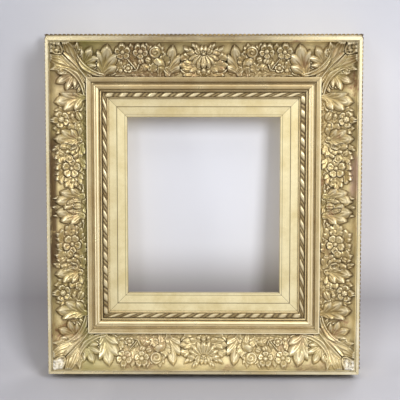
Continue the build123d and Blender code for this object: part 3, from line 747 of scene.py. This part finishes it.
def flower(relief, centre, radius, height, turn=0.0, heart=0.26, cup=0.14):
    """An open flower: five broad pointed petals, slightly dished, around a small heart."""
    window, off_u, off_v, reach = relief.around(centre, radius * 1.1)
    angle = np.arctan2(off_v, off_u) + turn
    fold = np.abs((5 * angle / (2 * np.pi)) % 1.0 - 0.5) * 2
    rim = radius * (0.62 + 0.42 * (1 - fold) ** 0.55 - 0.14 * (1 - fold) ** 6)
    share = np.clip(reach / rim, 0, 1)
    body = 0.80 - cup * np.sin(np.pi * share) * (1 - fold) + 0.16 * share - 0.16 * fold**2
    body -= 0.34 * crease(1 - fold, 0.13) * smooth((share - 0.15) / 0.3)
    body -= 0.14 * crease(fold, 0.10) * smooth((0.85 - share) / 0.3) * smooth((share - 0.3) / 0.2)
    relief.lay(window, rim - reach, height * body)
    core = radius * heart
    beads = 1 - 0.12 * np.cos(7 * angle) * smooth(reach / core * 1.2)
    relief.lay(window, core - reach, height * (0.60 + 0.45 * dome(reach, core)) * beads, 0.5)


def bud(relief, centre, radius, height, slit=0.0, turn=0.0, stretch=1.0):
    """A berry or a bud, plain or with a slit."""
    window, off_u, off_v, _ = relief.around(centre, radius * stretch)
    along = (off_u * math.cos(turn) + off_v * math.sin(turn)) / stretch
    beside = -off_u * math.sin(turn) + off_v * math.cos(turn)
    reach = np.hypot(along, beside)
    body = 0.35 + 0.65 * dome(reach, radius) - slit * crease(beside, radius * 0.16)
    relief.lay(window, radius - reach, height * body)


def rose(relief, centre, radius, height, turns=1.6):
    """A small rose: one petal wound around the heart in a spiral."""
    window, off_u, off_v, reach = relief.around(centre, radius)
    angle = np.arctan2(off_v, off_u) / (2 * np.pi)
    coil = (reach / radius * turns - angle) % 1.0
    body = 0.50 + 0.25 * (1 - reach / radius) + 0.40 * np.sin(np.pi * coil) ** 0.7
    relief.lay(window, radius - reach, height * body)


def foliage(relief, path, count, width, height, seed, spread=55):
    """Small leaves to both sides of a line, under the larger forms."""
    chance = np.random.default_rng(seed)
    spine = bezier(path)
    for i in range(count):
        at = int((i + 0.5) / count * (len(spine) - 1))
        spot = spine[at]
        ahead = spine[min(at + 2, len(spine) - 1)] - spine[max(at - 2, 0)]
        hand = 1 if i % 2 else -1
        turn = math.atan2(ahead[1], ahead[0]) + math.radians(hand * (spread + chance.uniform(-16, 16)))
        long = FOLIAGE_LENGTH * chance.uniform(0.75, 1.15)
        bow = hand * chance.uniform(0.05, 0.35) * long
        tip = spot + long * np.array([math.cos(turn), math.sin(turn)])
        mid = (spot + tip) / 2 + bow * np.array([-math.sin(turn), math.cos(turn)])
        leaf(relief, [spot, mid, tip], width * chance.uniform(0.95, 1.25), height, 2, 0.34)


# Castings. Places are shares of the cove's width: u along the side, v out from the fillet. A row holds
# an element, its path or centre, and its sizes; a later row lies over an earlier one.
def turned(rows, turn):
    """Give rows with their paths turned."""
    return [(element, turn(path), *sizes) for element, path, *sizes in rows]


def flip(path):
    """Reflect a path across the corner's diagonal."""
    return [(v, u) for u, v in path]


def mirror(path):
    """Reflect a path to the other side of the middle."""
    return [(-u, v) for u, v in path]


def spoke(angle, centre, wide, high):
    """Give the point of an oval at an angle from the line that runs outward."""
    turn = math.radians(angle)
    return centre[0] + wide * math.sin(turn), centre[1] + high * math.cos(turn)


# Corner leaf: broad flutes fan out to a rosette, with curled lobes down both sides
CORNER_HALF = (
    (acanthus, ((0.00, 0.10), (-0.14, 0.12), (-0.28, 0.18), (-0.44, 0.26)), 0.24, 0.080, 1),
    (acanthus, ((0.02, 0.12), (-0.08, 0.20), (-0.16, 0.34), (-0.32, 0.50)), 0.38, 0.120, 2),
    (maple, ((0.14, 0.26), (-0.16, 0.86)), 0.170, 1.0, 0.85),
    (acanthus, ((0.26, 0.46), (0.30, 0.64), (0.30, 0.78), (0.20, 0.97)), 0.30, 0.125, 1),
    (flute, ((-0.74, 0.05), (-0.10, 0.07), (0.20, 0.34), (0.34, 0.92)), 0.120, 0.130, 0.6, 0.6, 0.4),
    (flute, ((-0.44, 0.03), (0.06, 0.08), (0.32, 0.40), (0.44, 0.96)), 0.150, 0.145, 0.6, 0.6, 0.4),
    (flute, ((-0.08, 0.00), (0.28, 0.18), (0.46, 0.46), (0.56, 1.02)), 0.42, 0.160, 0.78, 0.7, 0.5, 2),
)
TONGUE = ((flute, ((0.00, 0.02), (0.32, 0.26), (0.56, 0.46), (0.76, 0.66)), 0.21, 0.165, 0.68, 0.7, 0.6, 1),)
ROSETTE = (ROSETTE_SHARE, ROSETTE_SHARE)
CORNER = [*CORNER_HALF, *turned(CORNER_HALF, flip), *TONGUE, *turned(TONGUE, flip)]
CORNER.append((ring, ROSETTE, 0.215, 0.140, 0.74, 0.85))
for i in range(ROSETTE_BEADS):
    CORNER.append((bud, spoke(90 - 360 * i / ROSETTE_BEADS, ROSETTE, 0.092, 0.092), 0.070, 0.165))

# Flower spray of the top and bottom sides; u runs away from the middle
SPRAY = (
    (foliage, ((0.95, 0.10), (0.40, 0.10), (-0.10, 0.14), (-0.70, 0.10)), 13, 0.13, 0.060, 3),
    (foliage, ((0.70, 0.40), (0.30, 0.46), (0.00, 0.56), (-0.40, 0.56)), 12, 0.14, 0.075, 4, 70),
    (stem, ((0.90, 0.05), (0.40, 0.03), (-0.10, 0.12), (-0.62, 0.06)), 0.045, 0.070),
    (acanthus, ((-0.96, 0.06), (-1.00, 0.16), (-1.02, 0.24), (-1.10, 0.34)), 0.22, 0.090, 1),
    (maple, ((-0.74, 0.06), (-0.90, 0.90)), 0.175, 0.85, 0.78),
    (lobe, ((-0.80, 0.12), (-0.70, 0.22), (-0.66, 0.34), (-0.60, 0.46)), 0.18, 0.105),
    (maple, ((-0.60, 0.30), (-0.66, 0.70)), 0.095),
    (lobe, ((-0.50, 0.04), (-0.54, 0.22), (-0.48, 0.36), (-0.43, 0.56)), 0.36, 0.145, 0.64),
    (maple, ((-0.30, 0.12), (-0.34, 0.42)), 0.090),
    (maple, ((0.98, 0.10), (0.68, 0.44)), 0.095),
    (maple, ((0.60, 0.26), (0.78, 0.54)), 0.100),
    (maple, ((0.24, 0.50), (0.28, 0.94)), 0.085),
    (maple, ((-0.18, 0.60), (-0.16, 0.95)), 0.085),
    (maple, ((-0.48, 0.62), (-0.52, 0.94)), 0.080),
    (stem, ((0.14, 0.20), (0.22, 0.34), (0.34, 0.44), (0.42, 0.58)), 0.055, 0.120, 0.3),
    (stem, ((0.13, 0.20), (0.08, 0.30), (0.06, 0.36), (0.02, 0.50)), 0.050, 0.115, 0.3),
    (stem, ((0.14, 0.20), (0.20, 0.16), (0.26, 0.18), (0.32, 0.24)), 0.045, 0.100, 0.3),
    (maple, ((1.10, 0.02), (0.92, 0.92)), 0.170, 0.72, 0.92),
    (flower, (0.51, 0.73), 0.240, 0.130, 0.4),
    (flower, (0.01, 0.75), 0.230, 0.140, 0.9, 0.30),
    (rose, (-0.40, 0.72), 0.165, 0.120),
    (bud, (0.00, 0.455), 0.090, 0.105, 0.3, 1.2),
    (bud, (-0.19, 0.50), 0.090, 0.100, 0.3, 0.4),
    (flower, (0.37, 0.246), 0.150, 0.110, 0.2, 0.4),
    (lobe, ((0.06, 0.16), (-0.02, 0.26), (-0.10, 0.32), (-0.22, 0.24)), 0.23, 0.110, 0.6),
    (bud, (0.58, 0.18), 0.070, 0.080),
)

# Flower spray of the stiles; u runs away from the middle
STILE_SPRAY = (
    (foliage, ((1.00, 0.12), (0.50, 0.10), (0.00, 0.12), (-0.60, 0.10)), 13, 0.13, 0.060, 5),
    (foliage, ((0.80, 0.42), (0.40, 0.44), (0.00, 0.52), (-0.50, 0.56)), 12, 0.14, 0.075, 6, 70),
    (foliage, ((-0.60, 0.30), (-0.90, 0.20), (-1.20, 0.30), (-1.52, 0.42)), 9, 0.14, 0.070, 7, 60),
    (stem, ((0.96, 0.10), (0.40, 0.03), (-0.20, 0.10), (-0.70, 0.06)), 0.040, 0.065),
    (stem, ((-1.50, 0.10), (-1.10, 0.20), (-0.70, 0.10), (-0.20, 0.18)), 0.050, 0.080),
    (maple, ((-0.66, 0.64), (-1.06, 0.76)), 0.100),
    (maple, ((-0.94, 0.68), (-1.34, 0.74)), 0.100),
    (maple, ((-0.38, 0.66), (-0.76, 0.80)), 0.100),
    (leaf, ((-0.18, 0.68), (-0.28, 0.80), (-0.34, 0.88), (-0.38, 0.96)), 0.17, 0.090, 2),
    (maple, ((-1.00, 0.28), (-1.44, 0.34)), 0.100),
    (maple, ((-1.08, 0.48), (-1.52, 0.46)), 0.110),
    (maple, ((-0.22, 0.12), (-0.60, 0.40)), 0.105),
    (maple, ((-0.20, 0.28), (-0.46, 0.62)), 0.105),
    (maple, ((-0.60, 0.20), (-1.02, 0.20)), 0.090),
    (maple, ((0.90, 0.10), (0.78, 0.46)), 0.095),
    (maple, ((0.22, 0.54), (0.24, 0.94)), 0.090),
    (maple, ((0.66, 0.50), (0.74, 0.90)), 0.090),
    (maple, ((1.10, 0.06), (0.96, 0.90)), 0.160, 0.66, 0.95),
    (lobe, ((0.44, 0.30), (0.48, 0.40), (0.56, 0.44), (0.64, 0.40)), 0.14, 0.100),
    (maple, ((-0.04, 0.22), (0.36, 0.54)), 0.120),
    (maple, ((-0.10, 0.20), (-0.06, 0.92)), 0.155, 0.75, 1.0),
    (lobe, ((-0.27, 0.36), (-0.30, 0.52), (-0.30, 0.64), (-0.26, 0.78)), 0.18, 0.125),
    (flower, (0.48, 0.745), 0.250, 0.145, 0.2, 0.36),
    (flower, (-0.90, 0.46), 0.290, 0.140, 0.7, 0.22),
    (bud, (0.57, 0.215), 0.105, 0.110, 0.3, 0.5, 1.35),
    (bud, (0.30, 0.24), 0.075, 0.085),
    (bud, (-0.056, 0.22), 0.070, 0.095),
    (rose, (-0.62, 0.52), 0.120, 0.110, 1.2),
    (bud, (-0.47, 0.72), 0.085, 0.100, 0.3, 1.0),
    (bud, (-1.26, 0.42), 0.070, 0.085),
)

# Middle of the top and bottom: a shell of petals between two wings of leaves, over three curled lobes
WING = (
    (maple, ((0.10, 0.06), (0.66, 0.22)), 0.100, 0.55, 1.0),
    (maple, ((0.12, 0.50), (0.70, 0.56)), 0.120, 0.50, 1.0),
    (maple, ((0.14, 0.26), (0.70, 0.36)), 0.120, 0.50, 1.0),
    (leaf, ((0.04, 0.60), (0.24, 0.66), (0.36, 0.72), (0.56, 0.86)), 0.22, 0.125),
    (leaf, ((0.04, 0.66), (0.14, 0.76), (0.20, 0.86), (0.32, 0.94)), 0.17, 0.110),
)
SIDE_LOBE = ((lobe, ((0.0, 0.04), (0.10, 0.08), (0.17, 0.20)), 0.15, 0.095),)
HEART = (0.0, 0.70)
PALMETTE = [*turned(WING, mirror), *WING]
for angle in (-88, 88, -66, 66, -44, 44, -22, 22, 0):
    petal = (HEART, spoke(angle, HEART, 0.23, -0.24), spoke(angle, HEART, 0.46, -0.48))
    PALMETTE.append((blade, petal, 0.170, 0.140, 0.70, 0.5, 0.24, 0.6, 0.5))
for angle in (-70, 70, -42, 42, -14, 14):
    petal = ((0.0, 0.66), spoke(angle, (0.0, 0.72), 0.27, 0.16))
    PALMETTE.append((blade, petal, 0.125, 0.140, 0.70, 0.6, 0.12, 0.45, 0.35))
PALMETTE += [(flower, HEART, 0.080, 0.150, 0.3, 0.5, 0.1), *turned(SIDE_LOBE, mirror), *SIDE_LOBE]
PALMETTE.append((lobe, ((0.0, 0.03), (0.0, 0.14), (0.0, 0.26)), 0.15, 0.110, 0.6))

# Middle of the stiles: curled leaves that part from a bud, the same up and down
CURLS = (
    (leaf, ((0.02, 0.08), (0.16, 0.10), (0.32, 0.16), (0.50, 0.12)), 0.19, 0.085),
    (leaf, ((0.26, 0.20), (0.44, 0.36), (0.46, 0.52), (0.38, 0.72)), 0.22, 0.105, 3, 0.36),
    (leaf, ((0.12, 0.60), (0.22, 0.72), (0.26, 0.82), (0.24, 0.95)), 0.18, 0.090),
    (maple, ((0.28, 0.14), (0.14, 0.90)), 0.160, 0.70, 1.0),
    (leaf, ((0.16, 0.18), (0.17, 0.38), (0.13, 0.52), (0.05, 0.62)), 0.17, 0.120),
)
CENTRE_LEAVES = [*turned(CURLS, mirror), *CURLS]
CENTRE_LEAVES.append((bud, (0.0, 0.28), 0.100, 0.125, 0.25, math.pi / 2, 1.3))
CENTRE_LEAVES.append((bud, (0.0, 0.92), 0.050, 0.090))


# Turning a relief into closed pieces
def blurred(field, rounds):
    """Blur a grid by repeated averaging."""
    result = field.copy()
    for _ in range(rounds):
        padded = np.pad(result, 1, mode="edge")
        beside = padded[:-2, 1:-1] + padded[2:, 1:-1] + padded[1:-1, :-2] + padded[1:-1, 2:]
        result = (beside + 4 * result) / 8
    return result


def hand_made(shape, seed):
    """Give a smooth random field, for the small unevenness of a casting finished by hand."""
    draw = np.random.default_rng(seed).standard_normal(shape)
    coarse = blurred(draw, 30)
    fine = blurred(draw, 6)
    return coarse / coarse.std() * 0.7 + fine / fine.std() * 0.3


def finish_relief(relief, seed):
    """Round the relief slightly, add unevenness and work out its skin, hollows and ridges. Hollows and the
    low ground about the forms get patina and painted shade; ridges get rubbed gold and high tips a painted
    highlight.
    """
    soft = blurred(relief.height, 1)
    soft = soft + UNEVENNESS * hand_made(soft.shape, seed) * (soft > 0.01)
    near = 1 + relief.cover / SKIN_REACH_SHARE
    skin = smooth(near)
    relief.lift = np.maximum(soft * cove_width, 0) + SKIN_RISE * skin - SKIN_SINK
    relief.keep = skin > 0.0
    hollow = (blurred(soft, 9) - soft) / HOLLOW_DEPTH
    # Painted shade: dark low ground about the foot of the forms
    low = crease(np.maximum(soft, 0), LOW_RELIEF) * smooth(near * 1.4)
    relief.hollow = np.clip(np.maximum(hollow * 0.72, low * 0.40), 0, 1)
    crest = np.clip((soft - blurred(soft, 10)) / RIDGE_HEIGHT - 0.15, 0, 1)
    # Painted highlight on the highest tips
    tip = 0.50 * smooth((soft - TIP_LEVEL) / TIP_RISE)
    relief.ridge = np.maximum(crest, tip) * smooth(soft / 0.05)


def relief_points(relief, lift):
    """Place the grid on the cove, lifted along its leaning normal, as (u, out, depth)."""
    arc = relief.arc_v
    share = 1.0
    if relief.corner:
        arc = np.maximum(np.maximum(relief.arc_u, arc), 0)
        share = smooth((relief.arc_v - relief.arc_u) / MITRE_BAND + 0.5)
    lean = np.minimum(np.interp(arc, ARC, TILT), MOST_LEAN)
    u = relief.u * cove_width - np.sin(lean * (1 - share)) * lift
    v = relief.v * cove_width - np.sin(lean * share) * lift
    return u, v, np.interp(arc, ARC, DEPTH) + np.cos(lean) * lift


def any_of_four(grid):
    """Tell for each square of a grid whether one of its four corners is set."""
    return grid[:-1, :-1] | grid[1:, :-1] | grid[:-1, 1:] | grid[1:, 1:]


def new_mesh(name, points, faces, **fields):
    """Make a smooth mesh, with fields that its material reads."""
    mesh = bpy.data.meshes.new(name)
    mesh.from_pydata(points, [], faces)
    mesh.polygons.foreach_set("use_smooth", np.ones(len(faces), bool))
    for word, field in fields.items():
        values = field.ravel().astype(np.float32)
        mesh.attributes.new(word, "FLOAT", "POINT").data.foreach_set("value", values)
    mesh.update()
    return mesh


def shell_mesh(name, relief, to_world):
    """Close the relief with a base inside the cove, and turn it into a mesh."""
    cells = any_of_four(relief.keep)
    padded = np.pad(cells, 1)
    used = any_of_four(padded)
    count = int(used.sum())
    index = np.full(used.shape, -1)
    index[used] = np.arange(count)
    corners = [index[:-1, :-1], index[1:, :-1], index[1:, 1:], index[:-1, 1:]]
    beyond = [padded[1:-1, :-2], padded[2:, 1:-1], padded[1:-1, 2:], padded[:-2, 1:-1]]
    top = np.stack([corner[cells] for corner in corners], -1)
    faces = [top, top[:, ::-1] + count]
    for first, second, neighbour in zip(corners, corners[1:] + corners[:1], beyond):
        border = cells & ~neighbour
        a, b = first[border], second[border]
        faces.append(np.stack([b, a, a + count, b + count], -1))
    faces = np.concatenate(faces)
    layers = [relief_points(relief, lift) for lift in (relief.lift, relief.lift * 0 - SINK)]
    points = np.concatenate([to_world(*[value[used] for value in layer]) for layer in layers])
    first = points[faces[0]]
    facing = np.cross(first[1] - first[0], first[2] - first[1])
    if facing[1] > 0:
        faces = faces[:, ::-1]
    hollow = np.concatenate([relief.hollow[used], np.ones(count)])
    ridge = np.concatenate([relief.ridge[used], np.ones(count)])
    return new_mesh(name, points.tolist(), faces.tolist(), hollow=hollow, ridge=ridge)


def add_piece(name, mesh, material, nodes, body="frame"):
    """Put a mesh in the scene in place of some nodes."""
    piece = bpy.data.objects.new(name, mesh)
    bpy.context.scene.collection.objects.link(piece)
    mesh.materials.append(material)
    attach(piece, body)
    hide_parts(*nodes)


def add_casting(node, relief, to_world):
    """Put a casting in place of its node."""
    name = f"{node}_relief"
    add_piece(name, shell_mesh(name, relief, to_world), ornament_gold, [node])


def side_point(side, run, out, depth):
    """Turn side coordinates into points of the world."""
    origin, along, outward, _ = SIDES[side]
    across = origin.x + along.x * run + outward.x * out
    height = origin.z + along.z * run + outward.z * out
    return np.stack([across, -depth, height], -1)


def side_placer(side, middle=0.0, hand=1):
    """Give the function that puts a casting of a side in the world."""
    return lambda u, v, depth: side_point(side, middle + hand * u, cove_in + v, depth)


def corner_placer(right, up):
    """Give the function that puts a casting of a corner in the world."""
    wide, high = half_width + cove_in, half_height + cove_in
    return lambda u, v, depth: np.stack([right * (wide + u), -depth, up * (high + v)], -1)


def steps(low, high):
    """Give evenly spaced values about one grid step apart."""
    return np.linspace(low, high, int(round((high - low) / GRID_STEP)) + 1)


def carved(rows, seed, low, high=None):
    """Carve a casting from low to high along the cove, or from low on along both sides of a mitre."""
    start = low * cove_width
    if high is None:
        arc = steps(start, ARC_END - RAIL_GAP)
        relief = Relief(arc, arc, corner=True)
    else:
        relief = Relief(steps(start, high * cove_width), steps(FOOT_GAP, ARC_END - RAIL_GAP))
    for element, path, *sizes in rows:
        element(relief, path, *sizes)
    finish_relief(relief, seed)
    return relief


# The castings: rows, seed and reach along the cove, in shares of its width
corner = carved(CORNER, 11, -0.50)
# The corner's hollows get less patina and painted shade
corner.hollow *= CORNER_HOLLOW_SHARE
corner.keep &= np.maximum(corner.arc_u, corner.arc_v) > FOOT_GAP
spray = carved(SPRAY, 12, -1.08, 1.22)
stile_spray = carved(STILE_SPRAY, 13, -1.55, 1.22)
palmette = carved(PALMETTE, 14, -0.70, 0.70)
centre_leaves = carved(CENTRE_LEAVES, 15, -0.50, 0.50)

spray_middle = SPRAY_PLACE_SHARE * (half_width + cove_in)
stile_spray_middle = STILE_SPRAY_PLACE_SHARE * (half_height + cove_in)
for high, up in (("top", 1), ("bottom", -1)):
    for side, right in (("right", 1), ("left", -1)):
        hand = right * up
        add_casting(f"corner_acanthus_{high}_{side}", corner, corner_placer(right, up))
        add_casting(f"spray_{high}_{side}", spray, side_placer(high, hand * spray_middle, hand))
        on_stile = side_placer(side, -hand * stile_spray_middle, -hand)
        add_casting(f"stile_spray_{side}_{high}", stile_spray, on_stile)
for side in ("top", "bottom"):
    add_casting(f"palmette_{side}", palmette, side_placer(side))
for side in ("right", "left"):
    add_casting(f"centre_leaves_{side}", centre_leaves, side_placer(side))


# Strips that run the length of a side, as closed sweeps with mitred ends
def strip_mesh(name, side, out_middle, pitch, length_step, ring_at):
    """Sweep a changing ring along a side; ring_at gives the rings for places counted in pitches."""
    half_length = SIDES[side][3]
    reach = half_length + out_middle
    fitted = 2 * reach / round(2 * reach / pitch)
    run = np.linspace(-reach, reach, int(round(2 * reach / length_step)) + 1)[:, None]
    out, depth, hollow, ridge = ring_at(run / fitted)
    points = side_point(side, run * ((half_length + out) / reach), out, depth).reshape(-1, 3)
    index = np.arange(out.size).reshape(out.shape)
    ahead = np.roll(index, -1, axis=1)
    quads = np.stack([index[:-1], index[1:], ahead[1:], ahead[:-1]], -1).reshape(-1, 4)
    faces = quads.tolist() + [index[0].tolist(), index[-1][::-1].tolist()]
    return new_mesh(name, points.tolist(), faces, hollow=hollow, ridge=ridge)


def with_feet(first, rings, last):
    """Give each ring its two feet, one before and one behind it."""
    edge = np.ones((len(rings), 1))
    return np.concatenate([edge * first, rings, edge * last], 1)


def rope_ring(place):
    """Give the rings of the rope strip: round strands that twist, parted by sharp grooves."""
    turn = np.linspace(0.0, np.pi, ROPE_RING - 2)[None, :]
    share = -np.cos(turn)
    phase = (place - ROPE_LEAD_SHARE / 2 * share) % 1.0
    broad = np.sin(np.pi * np.clip(phase / (1 - THIN_STRAND_SHARE), 0, 1))
    thin = np.sin(np.pi * np.clip((phase - 1 + THIN_STRAND_SHARE) / THIN_STRAND_SHARE, 0, 1))
    swell = 0.40 + 0.60 * np.maximum(broad**0.35, 0.60 * thin**0.6)
    out = rope_middle + (rope_out - rope_in) / 2 * share * (0.86 + 0.14 * swell)
    arch = np.minimum(1.0, 1.22 * np.sin(turn) ** 0.9)
    depth = rope_base + rope_height * arch * swell
    # The grooves get patina and painted shade, the crests rubbed gold and a painted highlight
    groove = crease(np.maximum(broad, 0.45 * thin), 0.50) + 0.9 * crease(np.sin(turn), 0.55)
    crest = 0.6 * np.clip(2.2 * broad**0.6 * arch**2 - 1.1, 0, 1)
    foot = rope_base - FOOT_SINK
    return (
        with_feet(rope_in, out, rope_out),
        with_feet(foot, depth, foot),
        with_feet(1.0, np.clip(groove, 0, 1), 1.0),
        with_feet(0.0, crest, 0.0),
    )


def pearl_ring(place):
    """Give the rings of the pearl string: half pearls that touch along the edge."""
    turn = np.linspace(0.0, np.pi, PEARL_RING - 2)[None, :]
    local = place % 1.0 * 2 - 1
    swell = pearl_radius * (0.30 + 0.70 * dome(local, 1.0))
    foot = pearl_base - FOOT_SINK
    span = pearl_radius * 0.3
    # Patina and painted shade between the pearls and at their feet
    hollow = with_feet(1.0, crease(1 - np.abs(local), 0.3) + 0 * turn, 1.0)
    return (
        with_feet(foot, pearl_base + swell * np.sin(turn), foot),
        with_feet(pearl_depth - span, pearl_depth - swell * np.cos(turn), pearl_depth + span),
        hollow,
        hollow * 0,
    )


for side in SIDES:
    name = f"rope_{side}"
    mesh = strip_mesh(f"{name}_twist", side, rope_middle, ROPE_PITCH, ROPE_STEP, rope_ring)
    add_piece(f"{name}_twist", mesh, rope_gold, [name])
    name = f"pearl_string_{side}"
    mesh = strip_mesh(f"{name}_beads", side, pearl_base, PEARL_PITCH, PEARL_STEP, pearl_ring)
    add_piece(f"{name}_beads", mesh, pearl_gold, [name])


# Camera, paper sweep, floor, lamps and sky
CAMERA_PLACE = (0.021, -2.40, 0.223)
CAMERA_AIM = (-0.0076, 0, 0.0083)
FOCAL_PIXELS = 1206.4
PHOTO_PIXELS = 400
SENSOR = 36.0


def placed(name, data, place, aim):
    """Put a camera or a lamp in the scene, facing a point."""
    thing = bpy.data.objects.new(name, data)
    thing.location = place
    thing.rotation_euler = (Vector(aim) - Vector(place)).to_track_quat("-Z", "Y").to_euler()
    bpy.context.scene.collection.objects.link(thing)
    return thing


camera = placed("camera", bpy.data.cameras.new("camera"), CAMERA_PLACE, CAMERA_AIM)
camera.data.sensor_width = SENSOR
camera.data.lens = FOCAL_PIXELS / PHOTO_PIXELS * SENSOR
bpy.context.scene.camera = camera
bpy.context.scene.view_settings.view_transform = "Standard"

# The frame stands on a pale sweep of paper and leans back on its rising part, so the sweep is farther
# off at the foot. Only the sweep is tilted here; the frame keeps its own axes.
LEAN = math.radians(5)
SWEEP_TOP_GAP = 0.008
SWEEP_FOOT_RISE = 3.5 * MM
BEND_RADIUS = 0.12
SHEET_HALF = 2.0
SHEET_FRONT = 4.5
SHEET_RISE = 2.2
FLOOR_HALF = 4
FLOOR_FRONT = 0.02
FLOOR_BACK = 5
FLOOR_DROP = 1.0 * MM
BEND_SAMPLES = 16

# Painted light and shade on the sweep: the level where the bend is darkest, between two where it ends, and
# for the rest where each tone begins, where it is full and between which shares it grows
BEND_SHADE_LEVEL = (-0.38, -0.20, -0.08)
MIDDLE_LIGHT = (0.34, 0.14)
LEFT_SHADE = (-0.20, -0.44, 0.0, 0.9)
HIGH_SHADE = (0.26, 0.44, 0.0, 0.85)
LOW_SHADE = (-0.30, -0.335, 0.0, 0.8)
OPENING_SHADE = (0.20, 0.16, 0.0, 0.66)
CLOUD_MOTTLE = (0.3, 0.7, 0.0, 0.15)


def sweep_paint():
    """Pale paint with painted light and shade: lighter in the middle, greyer at the left, up high and low
    down, darker in the bend and darkest in the bend behind the opening; faintly mottled; its back is clear.
    """
    shader = Shader("sweep_paint", rgb(200, 200, 206))
    side, level = shader.along("X"), shader.along("Z")
    aside = shader.away(side)
    low, middle, high = BEND_SHADE_LEVEL
    fading = shader.math("POWER", shader.spread(level, high, middle), 1.6)
    bend = shader.times(fading, shader.spread(level, low, middle))
    shader.paint(rgb(216, 217, 223), shader.spread(aside, *MIDDLE_LIGHT))
    shader.paint(rgb(174, 174, 180), shader.spread(side, *LEFT_SHADE))
    shader.paint(rgb(178, 179, 185), shader.spread(level, *HIGH_SHADE))
    shader.paint(rgb(180, 179, 184), shader.spread(level, *LOW_SHADE))
    shader.paint(rgb(196, 195, 200), shader.spread(shader.noise(2.5), *CLOUD_MOTTLE))
    shader.paint(rgb(156, 155, 161), bend, 0.85)
    shader.paint(rgb(112, 111, 118), bend, shader.spread(aside, *OPENING_SHADE))
    shader.feed(shader.surface.inputs["Specular IOR Level"], 0.1)
    clear = shader.add("ShaderNodeBsdfTransparent").outputs[0]
    backfacing = shader.add("ShaderNodeNewGeometry").outputs["Backfacing"]
    sides = {0: backfacing, 1: shader.surface.outputs[0], 2: clear}
    shader.feed(shader.output.inputs[0], shader.node("ShaderNodeMixShader", 0, sides))
    return shader.finish(0.9)


def floor_paint():
    """Pale, faintly clouded paint."""
    shader = Shader("floor_paint", rgb(222, 222, 224))
    shader.paint(rgb(214, 214, 217), shader.noise(3.0))
    return shader.finish(0.85)


def staged(name, points, faces, material):
    """Make a sheet that isn't part of the object."""
    mesh = new_mesh(name, points, faces)
    mesh.materials.append(material)
    piece = bpy.data.objects.new(name, mesh)
    bpy.context.scene.collection.objects.link(piece)
    return piece


def paper_sweep():
    """Make the sheet that runs along the table, bends up and meets the top of the frame."""
    toward = np.array([-math.cos(LEAN), -math.sin(LEAN)])
    upward = np.array([-math.sin(LEAN), math.cos(LEAN)])
    foot = np.array([0.0, cad_low.z + SWEEP_FOOT_RISE])
    head = np.array([SWEEP_TOP_GAP, cad_high.z])
    junction = foot - toward * np.dot(foot - head, toward)
    middle = junction + BEND_RADIUS * (toward + upward)
    section = [junction + SHEET_FRONT * toward]
    for turn in np.linspace(0.0, math.pi / 2, BEND_SAMPLES):
        section.append(middle - BEND_RADIUS * (upward * math.cos(turn) + toward * math.sin(turn)))
    section.append(junction + SHEET_RISE * upward)
    points = [(side, back, level) for back, level in section for side in (-SHEET_HALF, SHEET_HALF)]
    faces = [(2 * i, 2 * i + 1, 2 * i + 3, 2 * i + 2) for i in range(len(section) - 1)]
    return staged("paper_sweep", points, faces, sweep_paint())


def floor():
    """Make the floor behind the sweep."""
    level = cad_low.z - FLOOR_DROP
    front = [(side, FLOOR_FRONT, level) for side in (-FLOOR_HALF, FLOOR_HALF)]
    back = [(side, FLOOR_BACK, level) for side in (FLOOR_HALF, -FLOOR_HALF)]
    staged("floor", front + back, [(0, 1, 2, 3)], floor_paint())


paper_sweep().visible_shadow = False
floor()

# Soft boxes: name, place, aim, width, height and power
LAMPS = (
    ("key", (1.20, -2.15, 0.95), (0, 0, 0), 0.8, 1.2, 49),
    ("fill", (-1.0, -2.5, 1.2), (0, 0, 0), 0.6, 1.2, 13),
    ("top", (0.2, -1.1, 1.9), (0, 0, -0.1), 1.4, 0.7, 11),
    ("side_right", (2.3, -0.9, 0.1), (0, 0, 0), 0.3, 1.5, 3),
    ("side_left", (-2.2, -0.9, 0.1), (0, 0, 0), 0.3, 1.5, 12),
    ("behind", (1.2, 2.4, 1.4), (0, 0, 0), 1.6, 1.2, 45),
    ("behind_left", (-1.6, 2.2, 0.4), (0, 0, 0), 1.4, 1.2, 25),
)
for name, place, aim, width, height, power in LAMPS:
    lamp = bpy.data.lights.new(name, "AREA")
    lamp.shape = "RECTANGLE"
    lamp.size = width
    lamp.size_y = height
    lamp.energy = power
    placed(name, lamp, place, aim)

# The sky lights softly, but the camera and polished gilding see it bright
SKY_LIGHT = 0.30
SKY_SEEN = 0.75

world = bpy.data.worlds.new("world")
bpy.context.scene.world = world
sky = Nodes(world)
rays = sky.add("ShaderNodeLightPath").outputs
seen = rays["Is Camera Ray"]
for kind in ("Is Glossy Ray", "Is Transmission Ray"):
    seen = sky.node("ShaderNodeMath", 0, {0: seen, 1: rays[kind]}, operation="MAXIMUM")
shown = {"Value": seen, "To Min": SKY_LIGHT, "To Max": SKY_SEEN}
background = sky.tree.nodes["Background"].inputs
sky.feed(background["Color"], rgb(222, 223, 228))
sky.feed(background["Strength"], sky.node("ShaderNodeMapRange", "Result", shown))
